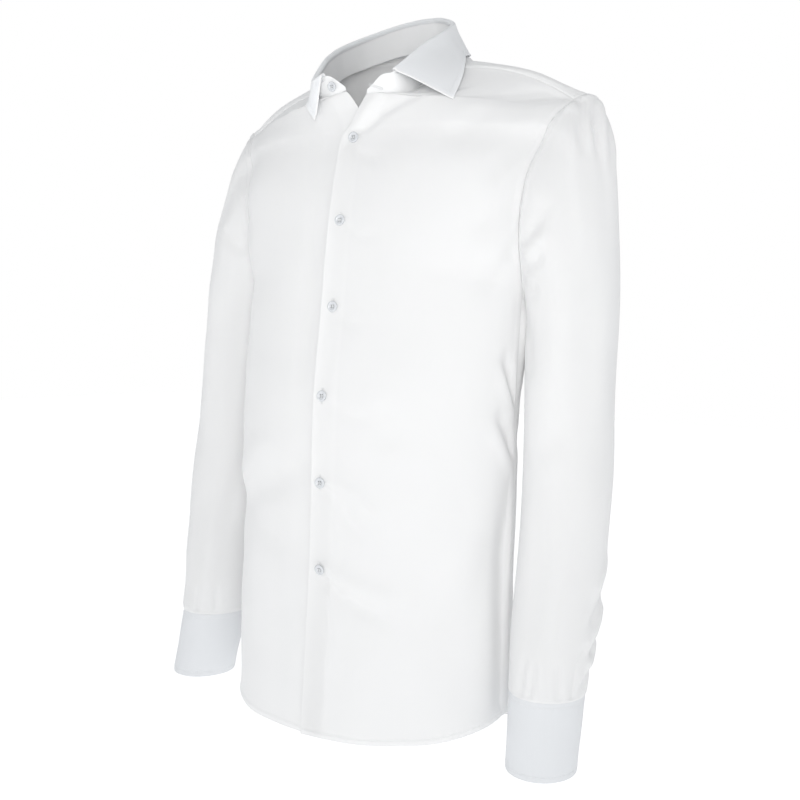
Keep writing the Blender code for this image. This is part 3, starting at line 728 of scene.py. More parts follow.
@dataclass(frozen=True)
class Paper:
    """The studio's pale floor.

    Args:
        name: The material's name.
        colour: Its colour.
        glow: How much light it gives by itself, which keeps it pale to its far edge.
    """

    name: str
    colour: tuple[float, float, float] = (0.92, 0.92, 0.92)
    glow: float = 0.55

    def build(self) -> bpy.types.Material:
        """The material."""
        shader = Shader(self.name)
        place = shader.place()
        grain = shader.noise(place, 30.0, 3.0)
        return shader.surface(
            base_color=shader.blend(grain, opaque(self.colour, 0.985), opaque(self.colour)),
            roughness=0.9,
            emission_color=(1.0, 1.0, 1.0, 1.0),
            emission_strength=self.glow,
        )


# --- Dressing --------------------------------------------------------------------------------------------------------


def placed(name: str, points: Sequence, faces: Sequence = (), edges: Sequence = ()) -> bpy.types.Object:
    """A new object in the scene.

    Args:
        name: Its name and its mesh's.
        points: The mesh's points.
        faces: Its faces.
        edges: Its edges, where it has no faces.

    Returns:
        The object.
    """
    mesh = bpy.data.meshes.new(name)
    mesh.from_pydata(points, edges, faces)
    made = bpy.data.objects.new(name, mesh)
    bpy.context.scene.collection.objects.link(made)
    return made


@dataclass
class Workroom:
    """What every piece of the shirt is finished with.

    Args:
        cloth: The single cloth.
        crisp: The cuffs' crisp cloth, darker and bluer than the rest as painted shade.
        collar: The leaf's cloth, darker and bluer than the rest as painted shade, and paler along its front edges as a
            painted highlight.
        band: The band's cloth, paler than the rest as painted light.
        pearl: The buttons' finish.
        thread: The sewing thread.
        collection: Where the pieces go.
    """

    cloth: bpy.types.Material
    crisp: bpy.types.Material
    collar: bpy.types.Material
    band: bpy.types.Material
    pearl: bpy.types.Material
    thread: bpy.types.Material
    collection: bpy.types.Collection

    def add(self, mesh: bpy.types.Mesh, name: str, material: bpy.types.Material, slot: str) -> bpy.types.Object:
        """Puts a mesh in the scene as a piece of the shirt.

        Args:
            mesh: The piece's mesh, in the root body's frame.
            name: The piece's name.
            material: Its finish.
            slot: A material slot's name. It is not used.

        Returns:
            The piece.
        """
        mesh.materials.clear()
        mesh.materials.append(material)
        piece = bpy.data.objects.new(name, mesh)
        self.collection.objects.link(piece)
        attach(piece, "root")
        LOG.info("%s: %d faces", name, len(mesh.polygons))
        return piece

    def cloth_piece(
        self, panel: Panel, node: str, thickness: float,
        free: Iterable[Edge] = (), material: bpy.types.Material | None = None,
    ) -> bpy.types.Object:
        """Makes a panel a piece that stands for its solid.

        Args:
            panel: The finished panel.
            node: The solid's name.
            thickness: The cloth's thickness.
            free: The edges that aren't sewn.
            material: Its finish where it isn't the single cloth.

        Returns:
            The piece.
        """
        piece = self.add(panel.mesh(thickness, free), panel.name, material or self.cloth, "white_poplin")
        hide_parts(node)
        return piece


class Sewing:
    """Rows of stitches and worked buttonholes, set along lines by one node tree."""

    def __init__(self, room: Workroom) -> None:
        """Builds the node tree once."""
        self.room = room
        self.tree = self._tree()

    def _tree(self) -> bpy.types.NodeTree:
        """A tree that lays short threads along a curve.

        Returns:
            The tree, with the pitch, length, radius and thread as inputs.
        """
        tree = bpy.data.node_groups.new("stitch_run", "GeometryNodeTree")
        face = tree.interface
        face.new_socket("Geometry", in_out="INPUT", socket_type="NodeSocketGeometry")
        for name, value in (("Pitch", 0.0025), ("Length", 0.0018), ("Radius", 0.0002)):
            face.new_socket(name, in_out="INPUT", socket_type="NodeSocketFloat").default_value = value
        face.new_socket("Thread", in_out="INPUT", socket_type="NodeSocketMaterial")
        face.new_socket("Geometry", in_out="OUTPUT", socket_type="NodeSocketGeometry")
        nodes = tree.nodes
        start, end = nodes.new("NodeGroupInput"), nodes.new("NodeGroupOutput")
        curve = nodes.new("GeometryNodeMeshToCurve")
        even = nodes.new("GeometryNodeResampleCurve")
        even.mode = "LENGTH"
        place = nodes.new("GeometryNodeInstanceOnPoints")
        stitch = nodes.new("GeometryNodeMeshUVSphere")
        stitch.inputs["Segments"].default_value = 6
        stitch.inputs["Rings"].default_value = 4
        stitch.inputs["Radius"].default_value = 1.0
        tangent = nodes.new("GeometryNodeInputTangent")
        turn = nodes.new("FunctionNodeAlignRotationToVector")
        turn.axis = "Z"
        half = nodes.new("ShaderNodeMath")
        half.operation = "MULTIPLY"
        half.inputs[1].default_value = 0.5
        size = nodes.new("ShaderNodeCombineXYZ")
        real = nodes.new("GeometryNodeRealizeInstances")
        paint = nodes.new("GeometryNodeSetMaterial")
        for source, given, target, taken in (
            (start, "Geometry", curve, "Mesh"), (curve, "Curve", even, "Curve"), (start, "Pitch", even, "Length"),
            (even, "Curve", place, "Points"), (stitch, "Mesh", place, "Instance"),
            (tangent, "Tangent", turn, "Vector"), (turn, "Rotation", place, "Rotation"),
            (start, "Length", half, 0), (start, "Radius", size, "X"), (start, "Radius", size, "Y"),
            (half, 0, size, "Z"), (size, "Vector", place, "Scale"), (place, "Instances", real, "Geometry"),
            (real, "Geometry", paint, "Geometry"), (start, "Thread", paint, "Material"),
            (paint, "Geometry", end, "Geometry"),
        ):
            tree.links.new(source.outputs[given], target.inputs[taken])
        return tree

    def run(self, name: str, lines: Sequence[np.ndarray], pitch: float = 0.0027, length: float = 0.0019,
            radius: float = 0.00018) -> bpy.types.Object:
        """Sews along lines and makes the stitches one piece.

        Args:
            name: The piece's name.
            lines: The lines' points.
            pitch: From one stitch to the next.
            length: How much of a stitch shows.
            radius: Half the thread's thickness.

        Returns:
            The piece.
        """
        points, edges = [], []
        for line in lines:
            first = len(points)
            points.extend(line.tolist())
            edges.extend((first + i, first + i + 1) for i in range(len(line) - 1))
        holder = placed(name + "_guide", points, edges=edges)
        modifier = holder.modifiers.new("Stitches", "NODES")
        modifier.node_group = self.tree
        wanted = {"Pitch": pitch, "Length": length, "Radius": radius, "Thread": self.room.thread}
        for socket in self.tree.interface.items_tree:
            if socket.in_out == "INPUT" and socket.name in wanted:
                modifier[socket.identifier] = wanted[socket.name]
        evaluated = holder.evaluated_get(bpy.context.evaluated_depsgraph_get())
        mesh = bpy.data.meshes.new_from_object(evaluated)
        bpy.data.objects.remove(holder, do_unlink=True)
        mesh.name = name
        mesh.shade_smooth()
        return self.room.add(mesh, name, self.room.thread, "white_poplin")

    def buttonholes(self, name: str, holes: Sequence[tuple[np.ndarray, np.ndarray, Sequence[float]]],
                    length: float = 0.0080, width: float = 0.0008, lift: float = 0.0002) -> None:
        """Works buttonholes and makes them one piece.

        Args:
            name: The piece's name.
            holes: For each the middle, the cloth's normal there and the way that it runs.
            length: Half its length.
            width: Half its width.
            lift: How far over the cloth the thread lies.
        """
        turns = np.linspace(0, 2 * math.pi, 61)[:, None]
        along = np.clip(1.25 * np.cos(turns), -1, 1) * length
        aside = np.clip(1.60 * np.sin(turns), -1, 1) * width
        lines = []
        for middle, normal, way in holes:
            way = unit(np.array(way) - normal * np.dot(way, normal))
            lines.append(middle + normal * lift + way * along + np.cross(normal, way) * aside)
        self.run(name, lines, pitch=0.0006, length=0.0009, radius=0.00034)


# --- The cut ---------------------------------------------------------------------------------------------------------

# The fronts' rows at the band's end and the armpit, the neck's row where the yoke's front edge meets it, and the
# yoke's row there.
BAND_END_ROW, ARMPIT_ROW, YOKE_NECK_ROW, YOKE_CORNER_ROW = 12, 6, 5, 3


def stops(length: float, step: float, first: float = 0.0, last: float = 0.0, fine: float = 0.001) -> np.ndarray:
    """Places along a length, a step apart, and closer together beside its ends.

    Args:
        length: The length.
        step: How far apart the places are.
        first: How wide the finer strip is at the start.
        last: How wide it is at the end.
        fine: How far apart the places are in those strips.

    Returns:
        Places from 0 to 1.
    """
    count = max(2, round((length - first - last) / step))
    middle = np.linspace(first, length - last, count + 1)
    before = np.arange(0, first - fine / 2, fine)
    after = length - np.arange(0, last - fine / 2, fine)[::-1]
    return np.unique(np.round(np.concatenate((before, middle, after, (length,))) / length, 7))


@dataclass(frozen=True)
class Pattern:
    """The lines that the shirt's panels are cut and sewn on, half by half with the wearer's left as +X.

    Args:
        overlap: How far each front goes past the centre.
        underlap_drop: How much further in the lower front lies.
        underlap_fade: How far from the centre it is back in its place.
        right_hem_drop: How much lower the hem hangs at the right side.
        right_end_in: How far the right end of the neckline is drawn in.
        right_end_up: How far it is drawn up.
        leaf_end: The neck's row at which the leaf ends, left and right.
        shoulder_rise: What share of the table's rise the fronts have at the yoke seam, left and right.
        back_reach: How far each row of the back goes straight before it turns.
        fronts: The fronts from the hem to the yoke seam: the opening edge, the side, and how each row is swept.
        back: The back from the hem to the yoke seam: the centre, the side, and how each row is swept.
        neck: The neck seam from the centre back to the band's end.
        yoke: The yoke's ridge from the armhole to the centre back, and where each row meets the back seam.
    """

    overlap: float = 0.013
    underlap_drop: float = 0.0027
    underlap_fade: float = 0.050
    right_hem_drop: float = 0.018
    right_end_in: float = 0.005
    right_end_up: float = 0.006
    leaf_end: tuple[float, float] = (6.0, 6.8)
    shoulder_rise: tuple[float, float] = (1.0, 0.4)
    back_reach: float = 0.62
    fronts: SizeTable = SizeTable(
        "left_x  right_x  edge_y   edge_z   side_x   side_y   side_z   turn  ease  rise   reach",
        (
            (-0.0130, -0.0130, -0.1155, -0.7140, 0.1655, 0.0020, -0.6880, 88, 1.7, 0.000, 0.62),
            (-0.0130, -0.0130, -0.1112, -0.6300, 0.1668, 0.0010, -0.6200, 88, 1.4, 0.000, 0.62),
            (-0.0130, -0.0130, -0.1067, -0.5400, 0.1665, 0.0000, -0.5400, 88, 1.0, 0.000, 0.62),
            (-0.0130, -0.0130, -0.1056, -0.4500, 0.1672, 0.0000, -0.4500, 88, 1.0, 0.000, 0.65),
            (-0.0130, -0.0130, -0.1045, -0.3600, 0.1668, 0.0000, -0.3600, 88, 1.0, 0.000, 0.65),
            (-0.0130, -0.0130, -0.0945, -0.2700, 0.1685, 0.0000, -0.2850, 86, 1.0, 0.000, 0.63),
            (-0.0130, -0.0130, -0.0900, -0.2230, 0.1705, 0.0000, -0.2500, 80, 1.0, 0.000, 0.62),
            (-0.0130, -0.0130, -0.0845, -0.1800, 0.1717, -0.0160, -0.1900, 73, 1.0, 0.000, 0.61),
            (-0.0130, -0.0130, -0.0755, -0.1320, 0.1775, -0.0155, -0.1380, 62, 1.0, 0.000, 0.59),
            (-0.0130, -0.0130, -0.0648, -0.0940, 0.1870, -0.0015, -0.1027, 50, 1.0, 0.000, 0.56),
            (-0.0022, -0.0110, -0.0625, -0.0800, 0.1930, 0.0007, -0.0860, 44, 1.0, 0.000, 0.53),
            (0.0062, -0.0055, -0.0620, -0.0645, 0.1980, 0.0075, -0.0745, 38, 1.0, 0.000, 0.50),
            (0.0155, 0.0155, -0.0615, -0.0505, 0.2025, 0.0140, -0.0670, 32, 0.9, 0.000, 0.46),
            (0.0360, 0.0360, -0.0570, -0.0520, 0.2052, 0.0185, -0.0628, 25, 1.0, 0.004, 0.40),
            (0.0545, 0.0545, -0.0390, -0.0440, 0.2070, 0.0225, -0.0598, 20, 1.0, 0.010, 0.36),
            (0.0670, 0.0670, -0.0110, -0.0253, 0.2085, 0.0265, -0.0572, 14, 1.0, 0.0165, 0.34),
        ),
    )
    back: SizeTable = SizeTable(
        "centre_y centre_z  side_x   side_y   side_z   turn  ease",
        (
            (0.0760, -0.7260, 0.1655, 0.0020, -0.6880, 88, 1.7),
            (0.0745, -0.6300, 0.1668, 0.0010, -0.6200, 88, 1.4),
            (0.0725, -0.5400, 0.1665, 0.0000, -0.5400, 88, 1.0),
            (0.0700, -0.4500, 0.1672, 0.0000, -0.4500, 88, 1.0),
            (0.0715, -0.3600, 0.1668, 0.0000, -0.3600, 88, 1.0),
            (0.0830, -0.2750, 0.1685, 0.0000, -0.2850, 86, 1.0),
            (0.0900, -0.2350, 0.1705, 0.0000, -0.2500, 80, 1.0),
            (0.0965, -0.1950, 0.1775, 0.0270, -0.2100, 72, 1.0),
            (0.1000, -0.1500, 0.1880, 0.0460, -0.1650, 58, 1.0),
            (0.1005, -0.1050, 0.2000, 0.0560, -0.1180, 45, 1.0),
            (0.0985, -0.0700, 0.2135, 0.0575, -0.0780, 34, 1.0),
        ),
    )
    neck: SizeTable = SizeTable(
        "x y z",
        (
            (0.0000, 0.0735, 0.0275),
            (0.0300, 0.0695, 0.0245),
            (0.0615, 0.0500, 0.0115),
            (0.0715, 0.0240, -0.0030),
            (0.0700, 0.0060, -0.0140),
            (0.0670, -0.0110, -0.0253),
            (0.0545, -0.0440, -0.0520),
            (0.0360, -0.0575, -0.0540),
            (0.0155, -0.0615, -0.0505),
        ),
    )
    yoke: SizeTable = SizeTable(
        "ridge_x ridge_y ridge_z along",
        (
            (0.2200, 0.0430, -0.0525, 1.00),
            (0.1760, 0.0400, -0.0335, 0.78),
            (0.1350, 0.0400, -0.0215, 0.56),
            (0.0930, 0.0400, -0.0075, 0.37),
            (0.0760, 0.0580, 0.0010, 0.24),
            (0.0420, 0.0800, 0.0000, 0.12),
            (0.0000, 0.0880, -0.0010, 0.00),
        ),
    )

    def right_end(self, side: Side, share: np.ndarray) -> np.ndarray:
        """How far the right end of the neckline is drawn in and up, fully where the share is 1."""
        full = (-self.right_end_in, 0, self.right_end_up) if side is Side.RIGHT else (0, 0, 0)
        return fade(share, 0, 1)[:, None] * full

    def neck_seam(self, side: Side, at: np.ndarray) -> np.ndarray:
        """Points of the neck seam on one side, at row numbers from the centre back."""
        return self.neck.value("x y z", at) + self.right_end(side, (at - self.leaf_end[0]) / 2)

    def front_edge(self, side: Side, at: np.ndarray) -> np.ndarray:
        """The opening edge and neckline of one front."""
        edge = self.fronts.cornered(side.word + "_x edge_y edge_z", at, BAND_END_ROW)
        edge += self.right_end(side, at - BAND_END_ROW + 1)
        neck = self.neck_seam(side, self.neck.last - (at - BAND_END_ROW))
        return np.where((at >= BAND_END_ROW)[:, None], neck, edge)

    def side_line(self, table: SizeTable, side: Side, at: np.ndarray) -> np.ndarray:
        """The side seam and the armhole's edge of a front or of half the back.

        Args:
            table: The fronts' or the back's.
            side: Which side it is.
            at: Row numbers.

        Returns:
            One point for each row number.
        """
        points = table.cornered("side_x side_y side_z", at, ARMPIT_ROW)
        if side is Side.RIGHT:
            points[:, 2] -= self.right_hem_drop * (1 - fade(at, 0, 2))
        return points

    @staticmethod
    def sweep(start: np.ndarray, end: np.ndarray, shape: np.ndarray, u: np.ndarray) -> np.ndarray:
        """Rows that leave the start square to the centre line and turn backwards towards the end.

        Args:
            start: Where each row starts.
            end: Where it ends.
            shape: For each row how far it turns, its ease, its rise and its reach, one array for each.
            u: Places along the rows.

        Returns:
            Rows by places by coordinates.
        """
        turn, ease, rise, reach = shape
        span = np.abs(end - start)
        p1 = start + np.stack((reach * span[:, 0], 0 * turn, 0 * turn), 1)
        heading = np.sign(end[:, 1] - start[:, 1])
        back = np.stack((np.cos(np.radians(turn)), heading * np.sin(np.radians(turn)), 0 * turn), 1)
        length = reach * np.hypot(span[:, 0] * np.cos(np.radians(turn)), span[:, 1] * np.sin(np.radians(turn)))
        grid = bezier((start, p1, end - back * length[:, None], end), u)
        lift = u[None, :] ** ease[:, None]
        grid[:, :, 2] = start[:, 2, None] * (1 - lift) + end[:, 2, None] * lift
        grid[:, :, 2] += rise[:, None] * 4 * u * (1 - u)
        return grid

    def front(self, side: Side, at: np.ndarray, u: np.ndarray) -> np.ndarray:
        """The outer face of one front in its true place, hem to yoke seam by opening edge to side."""
        turn, ease, rise, reach = self.fronts.value("turn ease rise reach", at).T
        rise = rise * self.shoulder_rise[side.index]
        side_line = self.side_line(self.fronts, side, at)
        grid = self.sweep(self.front_edge(side, at), side_line, (turn, ease, rise, reach), u)
        if side is Side.RIGHT:
            grid[:, :, 0] *= -1
            behind = 1 - fade(-grid[:, :, 0], self.overlap, self.underlap_fade)
            under = 1 - fade(at, BAND_END_ROW - 1, BAND_END_ROW)
            grid[:, :, 1] += self.underlap_drop * behind * under[:, None]
        return grid

    def back_half(self, side: Side, at: np.ndarray, u: np.ndarray) -> np.ndarray:
        """One half of the back's outer face, from the centre to the side seam and armhole."""
        turn, ease = self.back.value("turn ease", at).T
        centre = self.back.value("centre_y centre_z", at)
        start = np.stack((0 * turn, centre[:, 0], centre[:, 1]), 1)
        shape = (turn, ease, 0 * turn, self.back_reach + 0 * turn)
        return self.sweep(start, self.side_line(self.back, side, at), shape, u)

    def yoke_half(self, side: Side, stations: np.ndarray, t: np.ndarray) -> np.ndarray:
        """One half of the yoke's outer face, from the armhole to the centre back by front edge to back seam."""
        fine = np.linspace(0, 1, 121)
        seam = self.front(side, np.array([float(self.fronts.last)]), fine)[0]
        seam[:, 0] = np.abs(seam[:, 0])
        last = self.yoke.last
        from_seam = smooth(seam, 120 * (1 - stations / YOKE_CORNER_ROW))
        from_neck = self.neck_seam(side, YOKE_NECK_ROW * (last - stations) / (last - YOKE_CORNER_ROW))
        front = np.where((stations <= YOKE_CORNER_ROW)[:, None], from_seam, from_neck)
        ridge = self.yoke.value("ridge_x ridge_y ridge_z", stations)
        behind = self.back_half(Side.LEFT, np.array([float(self.back.last)]), fine)[0]
        back = smooth(behind, 120 * self.yoke.value("along", stations)[:, 0])
        handle = (2 * ridge - 0.5 * (front + back))[:, None]
        t = t[None, :, None]
        return (1 - t) ** 2 * front[:, None] + 2 * t * (1 - t) * handle + t * t * back[:, None]

    def armhole(self, angles: np.ndarray) -> np.ndarray:
        """The armhole's loop: over the shoulder, down the front, under the arm and up the back."""
        over = self.yoke_half(Side.LEFT, np.array([0.0]), np.linspace(0, 1, 61))[0]
        low = ARMPIT_ROW + 0.001
        front = self.side_line(self.fronts, Side.LEFT, np.linspace(self.fronts.last, low, 90))
        back = self.side_line(self.back, Side.LEFT, np.linspace(low, self.back.last, 90))
        down, up = np.concatenate((over[30::-1], front)), np.concatenate((back, over[:29:-1]))
        turns = angles / math.pi
        found = []
        for line, where in ((down, turns[turns <= 1]), (up, turns[turns > 1] - 1)):
            run = np.concatenate(((0,), np.cumsum(np.linalg.norm(np.diff(line, axis=0), axis=1))))
            found.append(np.stack([np.interp(run[-1] * where, run, line[:, i]) for i in range(3)], 1))
        return np.concatenate(found)


PATTERN = Pattern()

# --- The body --------------------------------------------------------------------------------------------------------

# One layer of the cloth, and how far inside a hem's fold its stitching runs.
SINGLE_CLOTH, HEM_STITCH = 0.0005, 0.0012


@dataclass
class Front:
    """One front with its opening edge folded back.

    Args:
        side: Which front it is.
        folds: What it is pressed into, measured from the opening edge and by height.
        thickness: One layer of the cloth.
        facing: How wide the fold along the opening edge is.
        hem: How wide the rolled hem is.
        held: Its sewn edges and how wide the cloth is held flat beside them.
        cut: The width, length and area of the cloth that shows. It is not used.
    """

    side: Side
    folds: tuple[Fold, ...] = ()
    thickness: float = SINGLE_CLOTH
    facing: float = 0.027
    hem: float = 0.006
    held: tuple[tuple[Edge, float], ...] = ((Edge.LAST_COLUMN, 0.010), (Edge.LAST_ROW, 0.008))
    cut: tuple[float, float, float] = (0.272, 0.735, 0.168)

    def panel(self) -> Panel:
        """The front's cloth, folded and hemmed."""
        low = ARMPIT_ROW * stops(0.49, 0.0028, first=0.009, fine=0.0009)
        chest = ARMPIT_ROW + (BAND_END_ROW - ARMPIT_ROW) * stops(0.165, 0.0027)
        top = BAND_END_ROW + (PATTERN.fronts.last - BAND_END_ROW) * stops(0.075, 0.0025, last=0.008)
        at = np.unique(np.concatenate((low, chest, top)))
        u = stops(0.235, 0.0027, first=0.005, last=0.010)
        grid = PATTERN.front(self.side, at, u)
        panel = Panel(f"{self.side.word}_front_cloth", grid, (0.05 * self.side.value, 0.0, -0.7))
        panel.layers(Edge.FIRST_COLUMN, self.facing)
        panel.layers(Edge.FIRST_ROW, self.hem)
        away_hem, _ = panel.from_edge(Edge.FIRST_ROW)
        hold = panel.freedom(self.held)
        panel.press(self.folds, hold)
        away_opening, _ = panel.from_edge(Edge.FIRST_COLUMN)
        panel.waver(height=0.0007, length=0.08, seed=21 + self.side.value, hold=hold * fade(away_opening, 0.01, 0.05))
        panel.roll_hem(away_hem, self.hem)
        panel.seam(Edge.LAST_COLUMN, height=0.0004, width=0.006, sink=0.0)
        panel.seam(Edge.LAST_ROW, height=-0.0002, width=0.004, sink=0.0002)
        panel.pucker(Edge.FIRST_ROW, self.hem - 0.001, 0.0003)
        return panel

    def build(self, room: Workroom, sewing: Sewing) -> None:
        """Makes the front and sews its hem."""
        panel = self.panel()
        node, free = f"{self.side.word}_front", (Edge.FIRST_COLUMN, Edge.FIRST_ROW)
        room.cloth_piece(panel, node, self.thickness, free)
        hem = panel.inset(Edge.FIRST_ROW, self.hem - HEM_STITCH, (0.002, 0.003))
        sewing.run(f"{node}_hem_stitching", [hem])


@dataclass
class Back:
    """The back, one panel from side seam to side seam.

    Args:
        folds: What it is pressed into, measured from the right side seam and by height.
        thickness: One layer of the cloth.
        hem: How wide the rolled hem is.
        held: Its sewn edges and how wide the cloth is held flat beside them.
        cut: The width, length and area of the cloth that shows. It is not used.
    """

    folds: tuple[Fold, ...] = ()
    thickness: float = SINGLE_CLOTH
    hem: float = 0.006
    held: tuple[tuple[Edge, float], ...] = (
        (Edge.FIRST_COLUMN, 0.010), (Edge.LAST_COLUMN, 0.010), (Edge.LAST_ROW, 0.006),
    )
    cut: tuple[float, float, float] = (0.47, 0.68, 0.272)

    def panel(self) -> Panel:
        """The back's cloth, folded and hemmed."""
        low = ARMPIT_ROW * stops(0.49, 0.0032, first=0.009, fine=0.0009)
        high = ARMPIT_ROW + (PATTERN.back.last - ARMPIT_ROW) * stops(0.165, 0.0032, last=0.008)
        at = np.unique(np.concatenate((low, high)))
        u = stops(0.225, 0.0032, last=0.010)
        right = PATTERN.back_half(Side.RIGHT, at, u) * (-1, 1, 1)
        left = PATTERN.back_half(Side.LEFT, at, u)
        grid = np.concatenate((right[:, ::-1], left[:, 1:]), 1)
        panel = Panel("back_cloth", grid, (0.0, 0.0, -0.7))
        panel.places = np.stack((grid[..., 0], grid[..., 2]), 2)
        panel.layers(Edge.FIRST_ROW, self.hem)
        hold = panel.freedom(self.held)
        panel.press(self.folds, hold)
        panel.waver(height=0.0008, length=0.08, seed=31, hold=hold)
        panel.roll_hem(panel.from_edge(Edge.FIRST_ROW)[0], self.hem)
        for edge in (Edge.FIRST_COLUMN, Edge.LAST_COLUMN):
            panel.seam(edge, height=0.0002, width=0.004, sink=0.0001)
        panel.seam(Edge.LAST_ROW, height=-0.0002, width=0.004, sink=0.0002)
        panel.pucker(Edge.FIRST_ROW, self.hem - 0.001, 0.0003)
        return panel

    def build(self, room: Workroom, sewing: Sewing) -> None:
        """Makes the back and sews its hem."""
        panel = self.panel()
        room.cloth_piece(panel, "back", self.thickness, (Edge.FIRST_ROW,))
        hem = panel.inset(Edge.FIRST_ROW, self.hem - HEM_STITCH, (0.003, 0.003))
        sewing.run("back_hem_stitching", [hem])


@dataclass
class Yoke:
    """The yoke, over both shoulders, doubled and topstitched.

    Args:
        folds: What it is pressed into, measured across by X and by Y.
        thickness: The outer layer. The yoke is double.
        topstitch: How far the topstitching runs from the seams.
        held: Its sewn edges and how wide the cloth is held flat beside them.
        cut: The width, length and area of the cloth that shows. It is not used.
    """

    folds: tuple[Fold, ...] = ()
    thickness: float = SINGLE_CLOTH
    topstitch: float = 0.0022
    held: tuple[tuple[Edge, float], ...] = (
        (Edge.FIRST_ROW, 0.004), (Edge.LAST_ROW, 0.004), (Edge.FIRST_COLUMN, 0.005), (Edge.LAST_COLUMN, 0.005),
    )
    cut: tuple[float, float, float] = (0.46, 0.20, 0.068)

    def panel(self) -> Panel:
        """The yoke's cloth."""
        last, corner = PATTERN.yoke.last, YOKE_CORNER_ROW
        shoulder = corner * stops(0.145, 0.0026, first=0.008)
        neck = corner + (last - corner) * stops(0.115, 0.0024)
        stations = np.unique(np.concatenate((shoulder, neck)))
        t = stops(0.145, 0.0028, first=0.006, last=0.006)
        right = PATTERN.yoke_half(Side.RIGHT, stations, t)[::-1] * (-1, 1, 1)
        grid = np.concatenate((PATTERN.yoke_half(Side.LEFT, stations, t), right[1:]), 0)
        panel = Panel("yoke_cloth", grid, (0.0, 0.0, -0.3))
        panel.places = grid[..., :2].copy()
        panel.ply[:] = 1.0
        panel.press(self.folds, panel.freedom(self.held))
        for edge in (Edge.FIRST_COLUMN, Edge.LAST_COLUMN):
            panel.seam(edge, height=0.0006, width=0.006, sink=0.0002)
        for edge in (Edge.FIRST_ROW, Edge.LAST_ROW):
            panel.seam(edge, height=0.0004, width=0.006, sink=0.0)
        for edge in (Edge.FIRST_COLUMN, Edge.LAST_COLUMN):
            panel.pucker(edge, self.topstitch, 0.00025)
        return panel

    def build(self, room: Workroom, sewing: Sewing) -> None:
        """Makes the yoke and topstitches its seams."""
        panel = self.panel()
        room.cloth_piece(panel, "yoke", self.thickness)
        front = panel.inset(Edge.FIRST_COLUMN, self.topstitch)
        wide = np.abs(front[:, 0]) > 0.070
        left = front[: np.argmin(wide)]
        right = front[len(front) - np.argmin(wide[::-1]):]
        back = panel.inset(Edge.LAST_COLUMN, self.topstitch, (0.004, 0.004))
        sewing.run("yoke_stitching", [left[2:], right[:-2], back])


# --- Sleeves ---------------------------------------------------------------------------------------------------------

# How far inside a cuff's edges its stitching runs, and a small button's size beside a front button.
CUFF_STITCH, SMALL_BUTTON = 0.005, 0.9


